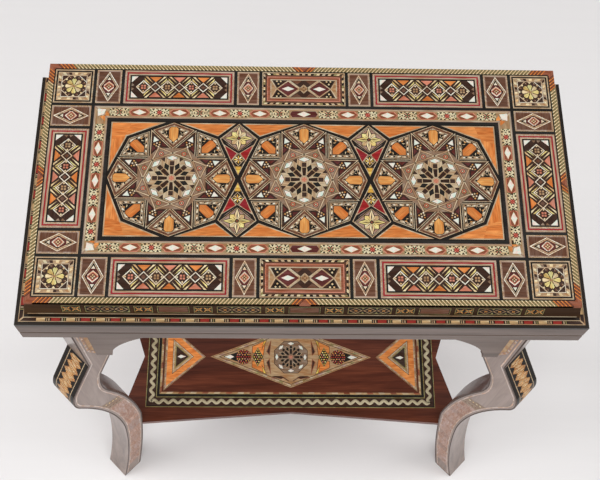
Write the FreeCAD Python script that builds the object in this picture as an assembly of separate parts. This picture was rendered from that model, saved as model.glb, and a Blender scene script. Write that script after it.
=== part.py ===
import FreeCAD, Part
import math
import os

# Inlaid lidded box on four S-shaped legs with a lower shelf, in millimetres.
# Origin: centre of the four feet on the floor. +X right, -Y front, +Z up.

# Overall sizes
TABLE_HEIGHT = 740.0
LID_LENGTH = 500.0
LID_DEPTH = 250.0
LID_RISE = 25.0
LEDGE_OVERHANG = 12.5

# Lid: veneered board on four mitred sides that lean outwards
ROPE_WIDTH = 6.0
ROPE_DEPTH = 4.0
ROPE_CHAMFER = 0.8
VENEER = 1.5
LID_CORE = 7.0
LID_SIDE_WIDTH = 12.0
SIDE_SPREAD = 4.2
COVE_HEIGHT = 4.0
COVE_DEPTH = 1.6

# Inlay plan of the lid top
TOP_MARGIN = 0.5
CORNER_TILE = 37.8
STRAP = 3.0
LOZENGE_OUTER = 24.1
LOZENGE_INNER = 21.5
MIDDLE_PANEL = 81.6
LOZENGE_SIDE = 22.6
BAND_WIDTH = 13.4

# Box: ledge mouldings above lower rails, with a bottom board in a rebate
LEDGE_HEIGHT = 22.0
RAIL_HEIGHT = 14.0
RAIL_WIDTH = 20.0
GROOVE_CHAMFER = 1.2
LEDGE_BORDER = 3.2
LEDGE_BAND = 4.7
LEDGE_BAND_DEPTH = 1.0
BOTTOM_THICKNESS = 8.0
REBATE = 10.0
PANEL_CLEARANCE = 0.2

# Aprons: arched boards between the legs
APRON_THICKNESS = 12.0
APRON_SETBACK = 27.0
APRON_HEIGHT = 147.0
APRON_RISE = 104.0
APRON_SHOULDER = 5.0

# Legs: planks set on the diagonals. Each inset is measured in from the box
# corner along the diagonal, and each level is a height above the floor.
LEG_THICKNESS = 36.0
LEG_OFFSET = 8.75
NECK_Z = 520.0
NECK_INSET = 42.0
POST_DEPTH = 33.0
KNEE_TOP_Z = 472.0
KNEE_TOP_INSET = 10.0
KNEE_NOSE_Z = 448.0
KNEE_NOSE_INSET = 5.0
KNEE_FOOT_Z = 422.0
SWEEP_Z = 338.0
SWEEP_INSET = 33.0
ANKLE_Z = 222.0
ANKLE_INSET = 42.5
CALF_Z = 122.0
CALF_INSET = 31.5
FOOT_INSET = 4.2
FOOT_DEPTH = 31.0
HEEL_Z = 105.0
HEEL_INSET = 57.0
ANKLE_DEPTH = 30.0
BACK_SWEEP_Z = 326.0
BACK_SWEEP_INSET = 65.0
HOLLOW_FOOT_Z = 405.0
HOLLOW_FOOT_INSET = 49.0
HOLLOW_Z = 440.0
HOLLOW_INSET = 45.0
HOLLOW_TOP_Z = 474.0
HOLLOW_TOP_INSET = 51.0
POST_FOOT_Z = 511.0

# Inlay set into the sloping face of each knee
KNEE_PANEL_WIDTH = 25.0
KNEE_PANEL_END = 3.0
KNEE_PANEL_DEPTH = 1.5

# Shelf with notched sides, housed in the legs
SHELF_TOP_Z = 178.0
SHELF_THICKNESS = 11.0
SHELF_HOUSING = 5.9
SHELF_SIDE_NOTCH = 49.5
SHELF_FRONT_NOTCH = 49.75
SHELF_INLAY = 1.2
WAVE_BORDER = 17.0
WAVE_MARGIN_X = 5.0
WAVE_MARGIN_Y = 6.5
DIAMOND_TIP_GAP = 7.0
DIAMOND_WIDTH = 92.0
TRIANGLE_BASE = 102.0
TRIANGLE_LENGTH = 59.0
TRIANGLE_GAP = 7.5
DOWEL_DIAMETER = 6.0
DOWEL_IN_SHELF = 20.0
DOWEL_IN_LEG = 12.0

# Butt hinges on the back, and their screws
HINGE_SPAN = 300.0
HINGE_WIDTH = 40.0
LEAF_HEIGHT = 18.0
LEAF_THICKNESS = 1.2
KNUCKLE_RADIUS = 2.5
KNUCKLE_STANDOFF = 3.0
KNUCKLE_GAP = 0.3
PIN_RADIUS = 1.2
PIN_CLEARANCE = 0.05
KNUCKLES = 5
HINGE_SCREW_SPACING = 24.0
HINGE_SCREW_LENGTH = 8.0
HINGE_SCREW_RADIUS = 1.0
HINGE_SCREW_HEAD = 1.9
LEG_SCREW_RADIUS = 2.2
LEG_SCREW_HEAD = 4.2
LEG_SCREW_LENGTH = 40.0
LEG_SCREW_SPACING = 17.0
SCREW_SIDES = 10

# Places that follow from the sizes above
DIAGONAL = math.sqrt(0.5)
HALF_X = LID_LENGTH / 2 + LEDGE_OVERHANG
HALF_Y = (LID_DEPTH + LEDGE_OVERHANG) / 2
LID_X = LID_LENGTH / 2
LID_FRONT = HALF_Y - LID_DEPTH
LID_MID_Y = HALF_Y - LID_DEPTH / 2
SEAT_Z = TABLE_HEIGHT - LID_RISE
LEDGE_FOOT_Z = SEAT_Z - LEDGE_HEIGHT
BOX_FOOT_Z = LEDGE_FOOT_Z - RAIL_HEIGHT
APRON_SPRING_Z = BOX_FOOT_Z - APRON_HEIGHT
ROPE_FOOT_Z = TABLE_HEIGHT - ROPE_DEPTH
VENEER_Z = TABLE_HEIGHT - VENEER
CORE_Z = VENEER_Z - LID_CORE
CORNER_REACH = HALF_Y / DIAGONAL
LEG_LINE = HALF_X - HALF_Y + LEG_OFFSET

os.makedirs("parts", exist_ok=True)


def save(name, *shapes):
    shape = shapes[0] if len(shapes) == 1 else Part.makeCompound(list(shapes))
    shape.exportStep("parts/" + name + ".step")


def vec(x, y, z):
    return FreeCAD.Vector(x, y, z)


def block(x0, x1, y0, y1, z0, z1):
    return Part.makeBox(x1 - x0, y1 - y0, z1 - z0, vec(x0, y0, z0))


def face_of(points):
    return Part.Face(Part.makePolygon(points + points[:1]))


def plan(points, z0, z1):
    corners = [vec(x, y, z0) for x, y in points]
    return face_of(corners).extrude(vec(0, 0, z1 - z0))


def along_x(profile, x0, x1):
    corners = [vec(x0, y, z) for y, z in profile]
    return face_of(corners).extrude(vec(x1 - x0, 0, 0))


def along_y(profile, y0, y1):
    corners = [vec(x, y0, z) for x, z in profile]
    return face_of(corners).extrude(vec(0, y1 - y0, 0))


def frame_quarters(x_out, y0, y1, width, reach):
    """Plan regions of a mitred frame: front, back, left and right."""
    far = x_out + reach
    near, back = y0 - reach, y1 + reach
    x_in, y_low, y_high = x_out - width, y0 + width, y1 - width
    return {
        "front": [(-far, near), (far, near), (x_in, y_low), (-x_in, y_low)],
        "back": [(-x_in, y_high), (x_in, y_high), (far, back), (-far, back)],
        "left": [(-far, near), (-x_in, y_low), (-x_in, y_high), (-far, back)],
        "right": [(far, near), (far, back), (x_in, y_high), (x_in, y_low)],
    }


# Lid core board
core_x = LID_X - ROPE_WIDTH
core_y0 = LID_FRONT + ROPE_WIDTH
core_y1 = HALF_Y - ROPE_WIDTH
save("lid_core_board", block(-core_x, core_x, core_y0, core_y1, CORE_Z, VENEER_Z))

# Rope edging: four mitred strips round the top
rope_profile = [
    (0, 0),
    (ROPE_WIDTH, 0),
    (ROPE_WIDTH, ROPE_DEPTH),
    (ROPE_CHAMFER, ROPE_DEPTH),
    (0, ROPE_DEPTH - ROPE_CHAMFER),
]
rope_sides = frame_quarters(LID_X, LID_FRONT, HALF_Y, ROPE_WIDTH, 0)
rope_strips = {
    "front": along_x([(LID_FRONT + a, ROPE_FOOT_Z + h) for a, h in rope_profile], -LID_X, LID_X),
    "back": along_x([(HALF_Y - a, ROPE_FOOT_Z + h) for a, h in rope_profile], -LID_X, LID_X),
    "left": along_y([(-LID_X + a, ROPE_FOOT_Z + h) for a, h in rope_profile], LID_FRONT, HALF_Y),
    "right": along_y([(LID_X - a, ROPE_FOOT_Z + h) for a, h in rope_profile], LID_FRONT, HALF_Y),
}
for side, strip in rope_strips.items():
    save("rope_edging_" + side, strip.common(plan(rope_sides[side], ROPE_FOOT_Z, TABLE_HEIGHT)))

# Lid sides: leaning faces with a cove at the foot, and an upright back
lid_side_height = ROPE_FOOT_Z - SEAT_Z
cove_top = SEAT_Z + COVE_HEIGHT
cove_share = COVE_HEIGHT / lid_side_height
spread_at_cove = SIDE_SPREAD * (1 - cove_share)


def lid_side_profile(edge, outward):
    """Section of a leaning side. Outward is the sign of its outer face."""
    inner = edge - outward * LID_SIDE_WIDTH
    return [
        (edge, ROPE_FOOT_Z),
        (edge + outward * spread_at_cove, cove_top),
        (edge + outward * (spread_at_cove - COVE_DEPTH), cove_top - COVE_DEPTH),
        (edge + outward * (spread_at_cove - COVE_DEPTH), SEAT_Z),
        (inner, SEAT_Z),
        (inner, CORE_Z),
        (edge - outward * ROPE_WIDTH, CORE_Z),
        (edge - outward * ROPE_WIDTH, ROPE_FOOT_Z),
    ]


lid_out = LID_X + SIDE_SPREAD
lid_quarters = frame_quarters(LID_X, LID_FRONT, HALF_Y + LID_DEPTH, LID_SIDE_WIDTH, SIDE_SPREAD)
lid_front = along_x(lid_side_profile(LID_FRONT, -1), -lid_out, lid_out)
lid_left = along_y(lid_side_profile(-LID_X, -1), LID_FRONT - SIDE_SPREAD, HALF_Y)
lid_right = along_y(lid_side_profile(LID_X, 1), LID_FRONT - SIDE_SPREAD, HALF_Y)
save("lid_front_side", lid_front.common(plan(lid_quarters["front"], SEAT_Z, ROPE_FOOT_Z)))
save("lid_left_side", lid_left.common(plan(lid_quarters["left"], SEAT_Z, ROPE_FOOT_Z)))
save("lid_right_side", lid_right.common(plan(lid_quarters["right"], SEAT_Z, ROPE_FOOT_Z)))
lid_back_profile = [
    (HALF_Y, SEAT_Z),
    (HALF_Y, ROPE_FOOT_Z),
    (HALF_Y - ROPE_WIDTH, ROPE_FOOT_Z),
    (HALF_Y - ROPE_WIDTH, CORE_Z),
    (HALF_Y - LID_SIDE_WIDTH, CORE_Z),
    (HALF_Y - LID_SIDE_WIDTH, SEAT_Z),
]
lid_back = along_x(lid_back_profile, -LID_X, LID_X)
lid_back = lid_back.cut(lid_left).cut(lid_right)

# Veneer of the lid top: tiles let into a lattice of dark straps
row_x = core_x - TOP_MARGIN
row_y = LID_DEPTH / 2 - ROPE_WIDTH - TOP_MARGIN
straps_in_half = 4 * STRAP
long_panel = row_x - MIDDLE_PANEL / 2 - LOZENGE_INNER - LOZENGE_OUTER - CORNER_TILE - straps_in_half
side_panel = 2 * (row_y - CORNER_TILE - LOZENGE_SIDE - 2 * STRAP)
ring_y = row_y - CORNER_TILE
band_x = row_x - CORNER_TILE - STRAP
band_y = ring_y - STRAP
frame_x = band_x - BAND_WIDTH
frame_y = band_y - BAND_WIDTH
field_x = frame_x - STRAP
field_y = frame_y - STRAP


def top_tile(cx, cy, length, width):
    y = cy + LID_MID_Y
    return block(cx - length / 2, cx + length / 2, y - width / 2, y + width / 2, VENEER_Z, TABLE_HEIGHT)


tile_y = row_y - CORNER_TILE / 2
tile_x = row_x - CORNER_TILE / 2
lozenge_inner_x = MIDDLE_PANEL / 2 + STRAP + LOZENGE_INNER / 2
long_panel_x = lozenge_inner_x + LOZENGE_INNER / 2 + STRAP + long_panel / 2
lozenge_outer_x = long_panel_x + long_panel / 2 + STRAP + LOZENGE_OUTER / 2
lozenge_side_y = side_panel / 2 + STRAP + LOZENGE_SIDE / 2
corner_tiles = []
lozenge_tiles = []
long_panels = []
middle_panels = []
side_panels = []
for sy in (-1, 1):
    middle_panels.append(top_tile(0, sy * tile_y, MIDDLE_PANEL, CORNER_TILE))
    for sx in (-1, 1):
        corner_tiles.append(top_tile(sx * tile_x, sy * tile_y, CORNER_TILE, CORNER_TILE))
        lozenge_tiles.append(top_tile(sx * lozenge_inner_x, sy * tile_y, LOZENGE_INNER, CORNER_TILE))
        lozenge_tiles.append(top_tile(sx * lozenge_outer_x, sy * tile_y, LOZENGE_OUTER, CORNER_TILE))
        lozenge_tiles.append(top_tile(sx * tile_x, sy * lozenge_side_y, CORNER_TILE, LOZENGE_SIDE))
        long_panels.append(top_tile(sx * long_panel_x, sy * tile_y, long_panel, CORNER_TILE))
for sx in (-1, 1):
    side_panels.append(top_tile(sx * tile_x, 0, CORNER_TILE, side_panel))
save("corner_tiles", *corner_tiles)
save("lozenge_tiles", *lozenge_tiles)
save("long_panels", *long_panels)
save("middle_panels", *middle_panels)
save("side_panels", *side_panels)
save("centre_field", top_tile(0, 0, 2 * field_x, 2 * field_y))
save("field_frame", top_tile(0, 0, 2 * frame_x, 2 * frame_y).cut(top_tile(0, 0, 2 * field_x, 2 * field_y)))
straps = block(-core_x, core_x, core_y0, core_y1, VENEER_Z, TABLE_HEIGHT)
straps = straps.cut(top_tile(0, 0, 2 * band_x, 2 * band_y))
for tile in corner_tiles + lozenge_tiles + long_panels + middle_panels + side_panels:
    straps = straps.cut(tile)
save("dark_straps", straps)
band_quarters = frame_quarters(band_x, LID_MID_Y - band_y, LID_MID_Y + band_y, BAND_WIDTH, 0)
for side, region in band_quarters.items():
    save("inlay_band_" + side, plan(region, VENEER_Z, TABLE_HEIGHT))

# Box: ledge mouldings, their inlaid bands, and lower rails with a rebate
box_quarters = frame_quarters(HALF_X, -HALF_Y, HALF_Y, RAIL_WIDTH, 0)


def upright(edge, outward, z0, z1, chamfer_at):
    """Section of a box side with one outer edge chamfered."""
    inner = edge - outward * RAIL_WIDTH
    nick = edge - outward * GROOVE_CHAMFER
    if chamfer_at == "foot":
        return [(inner, z0), (nick, z0), (edge, z0 + GROOVE_CHAMFER), (edge, z1), (inner, z1)]
    return [(inner, z0), (edge, z0), (edge, z1 - GROOVE_CHAMFER), (nick, z1), (inner, z1)]


def box_ring(z0, z1, chamfer_at):
    bars = {
        "front": along_x(upright(-HALF_Y, -1, z0, z1, chamfer_at), -HALF_X, HALF_X),
        "back": along_x(upright(HALF_Y, 1, z0, z1, chamfer_at), -HALF_X, HALF_X),
        "left": along_y(upright(-HALF_X, -1, z0, z1, chamfer_at), -HALF_Y, HALF_Y),
        "right": along_y(upright(HALF_X, 1, z0, z1, chamfer_at), -HALF_Y, HALF_Y),
    }
    return {side: bar.common(plan(box_quarters[side], z0, z1)) for side, bar in bars.items()}


stripe_x = HALF_X - LEDGE_BORDER
stripe_y = -HALF_Y + LEDGE_BORDER
stripe_quarters = frame_quarters(stripe_x, stripe_y, HALF_Y + LEDGE_BAND, LEDGE_BAND, 0)
stripe_z = SEAT_Z - LEDGE_BAND_DEPTH
behind = block(-HALF_X, HALF_X, HALF_Y, HALF_Y + 2 * LEDGE_BAND, stripe_z, SEAT_Z)
stripes = {}
for side in ("front", "left", "right"):
    stripes[side] = plan(stripe_quarters[side], stripe_z, SEAT_Z).cut(behind)
    save("ledge_band_" + side, stripes[side])
ledges = box_ring(LEDGE_FOOT_Z, SEAT_Z, "foot")
for side, ledge in ledges.items():
    for stripe in stripes.values():
        ledge = ledge.cut(stripe)
    ledges[side] = ledge

panel_x = HALF_X - RAIL_WIDTH + REBATE - PANEL_CLEARANCE
panel_y = HALF_Y - RAIL_WIDTH + REBATE - PANEL_CLEARANCE
rebate_x = panel_x + PANEL_CLEARANCE
rebate_y = panel_y + PANEL_CLEARANCE
bottom_top_z = BOX_FOOT_Z + BOTTOM_THICKNESS
rebate_cut = block(-rebate_x, rebate_x, -rebate_y, rebate_y, BOX_FOOT_Z, bottom_top_z)
for side, rail in box_ring(BOX_FOOT_Z, LEDGE_FOOT_Z, "top").items():
    save("box_rail_" + side, rail.cut(rebate_cut))
bottom_board = block(-panel_x, panel_x, -panel_y, panel_y, BOX_FOOT_Z, bottom_top_z)


# Legs: one S-shaped profile, placed on the four diagonals
def rim(inset, z):
    return vec(CORNER_REACH - inset, 0, z)


def arc(start, middle, end):
    return Part.Arc(start, middle, end).toShape()


def line(start, end):
    return Part.LineSegment(start, end).toShape()


post_inset = NECK_INSET + POST_DEPTH
top_out = rim(NECK_INSET, BOX_FOOT_Z)
neck = rim(NECK_INSET, NECK_Z)
knee_top = rim(KNEE_TOP_INSET, KNEE_TOP_Z)
knee_foot = rim(KNEE_TOP_INSET, KNEE_FOOT_Z)
ankle = rim(ANKLE_INSET, ANKLE_Z)
toe = rim(FOOT_INSET, 0)
heel = rim(FOOT_INSET + FOOT_DEPTH, 0)
ankle_back = rim(ANKLE_INSET + ANKLE_DEPTH, ANKLE_Z)
hollow_foot = rim(HOLLOW_FOOT_INSET, HOLLOW_FOOT_Z)
hollow_top = rim(HOLLOW_TOP_INSET, HOLLOW_TOP_Z)
post_foot = rim(post_inset, POST_FOOT_Z)
top_in = rim(post_inset, BOX_FOOT_Z)
leg_outline = Part.Wire([
    line(top_out, neck),
    line(neck, knee_top),
    arc(knee_top, rim(KNEE_NOSE_INSET, KNEE_NOSE_Z), knee_foot),
    arc(knee_foot, rim(SWEEP_INSET, SWEEP_Z), ankle),
    arc(ankle, rim(CALF_INSET, CALF_Z), toe),
    line(toe, heel),
    arc(heel, rim(HEEL_INSET, HEEL_Z), ankle_back),
    arc(ankle_back, rim(BACK_SWEEP_INSET, BACK_SWEEP_Z), hollow_foot),
    arc(hollow_foot, rim(HOLLOW_INSET, HOLLOW_Z), hollow_top),
    line(hollow_top, post_foot),
    line(post_foot, top_in),
    line(top_in, top_out),
])


def plank(outline, thickness):
    slab = Part.Face(outline).extrude(vec(0, thickness, 0))
    slab.translate(vec(0, -thickness / 2, 0))
    return slab


slope = knee_top.sub(neck).normalize()
inward = vec(-slope.z, 0, slope.x)
if inward.x > 0:
    inward = inward.negative()
panel_start = neck.add(slope * KNEE_PANEL_END)
panel_end = knee_top.sub(slope * KNEE_PANEL_END)
panel_depth = inward * KNEE_PANEL_DEPTH
knee_outline = Part.makePolygon([
    panel_start, panel_end, panel_end.add(panel_depth), panel_start.add(panel_depth), panel_start,
])
knee_panel = plank(knee_outline, KNEE_PANEL_WIDTH)

screw_mid = CORNER_REACH - NECK_INSET - POST_DEPTH / 2


def screw_ring(radius, z):
    turns = [2 * math.pi * side / SCREW_SIDES for side in range(SCREW_SIDES)]
    ring = [vec(radius * math.cos(turn), radius * math.sin(turn), z) for turn in turns]
    return Part.makePolygon(ring + ring[:1])


def countersunk_screw(shank, head, length):
    """Screw with its flat head at the origin, pointing down."""
    rings = [screw_ring(head, 0), screw_ring(shank, shank - head), screw_ring(shank, -length)]
    return Part.makeLoft(rings, True, True)


def leg_screw(reach):
    screw = countersunk_screw(LEG_SCREW_RADIUS, LEG_SCREW_HEAD, LEG_SCREW_LENGTH)
    screw.translate(vec(reach, 0, bottom_top_z))
    return screw


leg_screws = [leg_screw(screw_mid - LEG_SCREW_SPACING / 2), leg_screw(screw_mid + LEG_SCREW_SPACING / 2)]

shelf_foot_z = SHELF_TOP_Z - SHELF_THICKNESS
shelf_reach = CORNER_REACH - ANKLE_INSET - ANKLE_DEPTH + SHELF_HOUSING
housing = block(0, shelf_reach, -LEG_THICKNESS, LEG_THICKNESS, shelf_foot_z, SHELF_TOP_Z)
dowel_length = DOWEL_IN_SHELF + DOWEL_IN_LEG
dowel_start = vec(shelf_reach - DOWEL_IN_SHELF, 0, SHELF_TOP_Z - SHELF_THICKNESS / 2)
dowel = Part.makeCylinder(DOWEL_DIAMETER / 2, dowel_length, dowel_start, vec(1, 0, 0))

leg = plank(leg_outline, LEG_THICKNESS).cut(knee_panel).cut(housing).cut(dowel)
for screw in leg_screws:
    leg = leg.cut(screw)


def on_diagonal(shape, sx, sy):
    """Turn a shape built along +X onto the diagonal of one corner."""
    placed = shape.copy()
    placed.rotate(vec(0, 0, 0), vec(0, 0, 1), math.degrees(math.atan2(sy, sx)))
    placed.translate(vec(sx * LEG_LINE, 0, 0))
    return placed


corners = {
    "front_left": (-1, -1),
    "front_right": (1, -1),
    "back_left": (-1, 1),
    "back_right": (1, 1),
}
all_leg_screws = []
all_dowels = []
for corner, (sx, sy) in corners.items():
    save("leg_" + corner, on_diagonal(leg, sx, sy))
    save("knee_inlay_" + corner, on_diagonal(knee_panel, sx, sy))
    all_leg_screws += [on_diagonal(screw, sx, sy) for screw in leg_screws]
    all_dowels.append(on_diagonal(dowel, sx, sy))
for screw in all_leg_screws:
    bottom_board = bottom_board.cut(screw)
save("box_bottom", bottom_board)
save("leg_screws", *all_leg_screws)
save("shelf_dowels", *all_dowels)

# Aprons: arched boards whose ends lie against the flat faces of the legs
half_plank = LEG_THICKNESS / 2 / DIAGONAL
apron_front = HALF_Y - APRON_SETBACK
apron_back = apron_front - APRON_THICKNESS
apron_side = HALF_X - (APRON_SETBACK - LEG_OFFSET)
apron_side_in = apron_side - APRON_THICKNESS


def arch_cut(half_span, length, across):
    """Elliptical opening below an apron, swept across it."""
    centre = vec(0, -length / 2, APRON_SPRING_Z)
    wide = centre.add(vec(half_span, 0, 0))
    tall = centre.add(vec(0, 0, APRON_RISE))
    ends = (wide, tall) if half_span > APRON_RISE else (tall, wide)
    ellipse = Part.Ellipse(ends[0], ends[1], centre)
    opening = Part.Face(Part.Wire(ellipse.toShape())).extrude(vec(0, length, 0))
    if across == "y":
        opening.rotate(vec(0, 0, 0), vec(0, 0, 1), 90)
    return opening


long_end_out = apron_front + LEG_LINE - half_plank
long_end_in = apron_back + LEG_LINE - half_plank
long_region = [
    (-long_end_out, -apron_front),
    (long_end_out, -apron_front),
    (long_end_in, -apron_back),
    (-long_end_in, -apron_back),
]
short_end_out = apron_side - LEG_LINE - half_plank
short_end_in = apron_side_in - LEG_LINE - half_plank
short_region = [
    (apron_side, -short_end_out),
    (apron_side, short_end_out),
    (apron_side_in, short_end_in),
    (apron_side_in, -short_end_in),
]
front_apron = plan(long_region, APRON_SPRING_Z, BOX_FOOT_Z)
front_apron = front_apron.cut(arch_cut(long_end_in - APRON_SHOULDER, 2 * HALF_Y, "x"))
right_apron = plan(short_region, APRON_SPRING_Z, BOX_FOOT_Z)
right_apron = right_apron.cut(arch_cut(short_end_in - APRON_SHOULDER, 2 * HALF_X, "y"))
save("apron_front", front_apron)
save("apron_back", front_apron.rotated(vec(0, 0, 0), vec(0, 0, 1), 180))
save("apron_right", right_apron)
save("apron_left", right_apron.rotated(vec(0, 0, 0), vec(0, 0, 1), 180))

# Shelf: notched board with let-in inlays, its corners housed in the legs
half_corner = LEG_THICKNESS / 2 * DIAGONAL
corner_x = LEG_LINE + shelf_reach * DIAGONAL
corner_y = shelf_reach * DIAGONAL
side_notch_x = HALF_X - SHELF_SIDE_NOTCH
front_notch_y = HALF_Y - SHELF_FRONT_NOTCH
quarter = [
    (corner_x + half_corner, corner_y - half_corner),
    (corner_x - half_corner, corner_y + half_corner),
]
shelf_outline = [
    (side_notch_x, 0), quarter[0], quarter[1],
    (0, front_notch_y), (-quarter[1][0], quarter[1][1]), (-quarter[0][0], quarter[0][1]),
    (-side_notch_x, 0), (-quarter[0][0], -quarter[0][1]), (-quarter[1][0], -quarter[1][1]),
    (0, -front_notch_y), (quarter[1][0], -quarter[1][1]), (quarter[0][0], -quarter[0][1]),
]
inlay_z = SHELF_TOP_Z - SHELF_INLAY


def shelf_inlay(points):
    return plan(points, inlay_z, SHELF_TOP_Z)


wave_x = side_notch_x - WAVE_MARGIN_X
wave_y = front_notch_y - WAVE_MARGIN_Y
wave_in_x = wave_x - WAVE_BORDER
wave_in_y = wave_y - WAVE_BORDER
wave_outer = block(-wave_x, wave_x, -wave_y, wave_y, inlay_z, SHELF_TOP_Z)
wave_border = wave_outer.cut(block(-wave_in_x, wave_in_x, -wave_in_y, wave_in_y, inlay_z, SHELF_TOP_Z))
triangle_base_x = wave_in_x - TRIANGLE_GAP
triangle_tip_x = triangle_base_x - TRIANGLE_LENGTH
triangle = shelf_inlay([
    (triangle_base_x, -TRIANGLE_BASE / 2),
    (triangle_base_x, TRIANGLE_BASE / 2),
    (triangle_tip_x, 0),
])
diamond_x = triangle_tip_x - DIAMOND_TIP_GAP
diamond = shelf_inlay([
    (-diamond_x, 0), (0, -DIAMOND_WIDTH / 2), (diamond_x, 0), (0, DIAMOND_WIDTH / 2),
])
left_triangle = triangle.rotated(vec(0, 0, 0), vec(0, 0, 1), 180)
shelf = plan(shelf_outline, shelf_foot_z, SHELF_TOP_Z)
for inlay in [wave_border, diamond, triangle, left_triangle] + all_dowels:
    shelf = shelf.cut(inlay)
save("shelf_board", shelf)
save("shelf_wave_border", wave_border)
save("shelf_diamond", diamond)
save("shelf_triangle_right", triangle)
save("shelf_triangle_left", left_triangle)

# Hinges: two leaves with interleaved knuckles on one pin, screwed to the back
axis_y = HALF_Y + KNUCKLE_STANDOFF
pin_hole = PIN_RADIUS + PIN_CLEARANCE
pitch = HINGE_WIDTH / KNUCKLES
leaf_start = KNUCKLE_RADIUS + KNUCKLE_GAP
leaf_middle = leaf_start + (LEAF_HEIGHT - leaf_start) / 2


def hinge_leaf(cx, up, first):
    """One leaf above (up = 1) or below the seam, with every second knuckle."""
    x0 = cx - HINGE_WIDTH / 2
    z0, z1 = sorted((SEAT_Z + up * leaf_start, SEAT_Z + up * LEAF_HEIGHT))
    leaf = block(x0, x0 + HINGE_WIDTH, HALF_Y, HALF_Y + LEAF_THICKNESS, z0, z1)
    for index in range(first, KNUCKLES, 2):
        start = x0 + index * pitch + KNUCKLE_GAP / 2
        length = pitch - KNUCKLE_GAP
        barrel = Part.makeCylinder(KNUCKLE_RADIUS, length, vec(start, axis_y, SEAT_Z), vec(1, 0, 0))
        low, high = sorted((SEAT_Z + up * KNUCKLE_GAP, SEAT_Z + up * leaf_start))
        tab = block(start, start + length, HALF_Y, HALF_Y + LEAF_THICKNESS, low, high)
        leaf = leaf.fuse(barrel).fuse(tab)
    bore = Part.makeCylinder(pin_hole, HINGE_WIDTH, vec(x0, axis_y, SEAT_Z), vec(1, 0, 0))
    return leaf.removeSplitter().cut(bore)


def hinge_screw(x, z):
    screw = countersunk_screw(HINGE_SCREW_RADIUS, HINGE_SCREW_HEAD, HINGE_SCREW_LENGTH)
    screw.rotate(vec(0, 0, 0), vec(1, 0, 0), -90)
    screw.translate(vec(x, HALF_Y + LEAF_THICKNESS, z))
    return screw


lid_screws = []
box_screws = []
for name, cx in (("left", -HINGE_SPAN / 2), ("right", HINGE_SPAN / 2)):
    lid_leaf = hinge_leaf(cx, 1, 1)
    box_leaf = hinge_leaf(cx, -1, 0)
    for dx in (-HINGE_SCREW_SPACING / 2, HINGE_SCREW_SPACING / 2):
        lid_screw = hinge_screw(cx + dx, SEAT_Z + leaf_middle)
        box_screw = hinge_screw(cx + dx, SEAT_Z - leaf_middle)
        lid_leaf = lid_leaf.cut(lid_screw)
        box_leaf = box_leaf.cut(box_screw)
        lid_back = lid_back.cut(lid_screw)
        ledges["back"] = ledges["back"].cut(box_screw)
        lid_screws.append(lid_screw)
        box_screws.append(box_screw)
    save("hinge_lid_leaf_" + name, lid_leaf)
    save("hinge_box_leaf_" + name, box_leaf)
    pin_start = vec(cx - HINGE_WIDTH / 2, axis_y, SEAT_Z)
    save("hinge_pin_" + name, Part.makeCylinder(PIN_RADIUS, HINGE_WIDTH, pin_start, vec(1, 0, 0)))
save("hinge_lid_screws", *lid_screws)
save("hinge_box_screws", *box_screws)
save("lid_back_side", lid_back)
for side, ledge in ledges.items():
    save("ledge_" + side, ledge)
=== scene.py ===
import bpy
import math
import random
from mathutils import Matrix, Vector


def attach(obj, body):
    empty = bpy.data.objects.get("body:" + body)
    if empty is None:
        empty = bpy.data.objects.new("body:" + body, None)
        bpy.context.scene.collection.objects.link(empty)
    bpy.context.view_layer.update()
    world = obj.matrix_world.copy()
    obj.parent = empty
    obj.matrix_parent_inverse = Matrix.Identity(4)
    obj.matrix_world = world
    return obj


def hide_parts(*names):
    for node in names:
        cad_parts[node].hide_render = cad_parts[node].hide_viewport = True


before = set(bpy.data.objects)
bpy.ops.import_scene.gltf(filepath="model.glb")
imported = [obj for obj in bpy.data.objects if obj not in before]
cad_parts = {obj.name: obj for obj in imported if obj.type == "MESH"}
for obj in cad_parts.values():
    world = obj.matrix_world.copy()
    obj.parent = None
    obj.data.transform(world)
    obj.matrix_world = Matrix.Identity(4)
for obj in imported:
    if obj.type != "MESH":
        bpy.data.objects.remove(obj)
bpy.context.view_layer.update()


# Box, aprons and legs: walnut boards, mitred and glued, with a thin satin
# varnish. The grain runs along each board, and upright in the legs.
class Shade:
    """A node's socket that can stand in sums. One without a socket starts a graph."""

    def __init__(self, tree, socket=None):
        self.tree = tree
        self.socket = socket

    def node(self, kind, settings, sockets, output=0):
        made = self.tree.nodes.new(kind)
        for key, value in settings.items():
            if key == "stops":
                for place, (at, colour) in enumerate(value):
                    stops = made.color_ramp.elements
                    stop = stops[place] if place < 2 else stops.new(at)
                    stop.position = at
                    stop.color = (*colour, 1.0)
            else:
                setattr(made, key, value)
        for key, value in sockets.items():
            if isinstance(value, Shade):
                self.tree.links.new(value.socket, made.inputs[key])
            else:
                made.inputs[key].default_value = value
        return Shade(self.tree, made.outputs[output])

    def sum(self, operation, first, second):
        return self.node("ShaderNodeMath", {"operation": operation}, {0: first, 1: second})

    def __add__(self, other):
        return self.sum("ADD", self, other)

    def __radd__(self, other):
        return self.sum("ADD", other, self)

    def __sub__(self, other):
        return self.sum("SUBTRACT", self, other)

    def __rsub__(self, other):
        return self.sum("SUBTRACT", other, self)

    def __mul__(self, other):
        return self.sum("MULTIPLY", self, other)

    def __rmul__(self, other):
        return self.sum("MULTIPLY", other, self)

    def __truediv__(self, other):
        return self.sum("DIVIDE", self, other)

    def __rtruediv__(self, other):
        return self.sum("DIVIDE", other, self)


RELIEF = 0.0004
VARNISH_ROUGHNESS = 0.08


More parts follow.
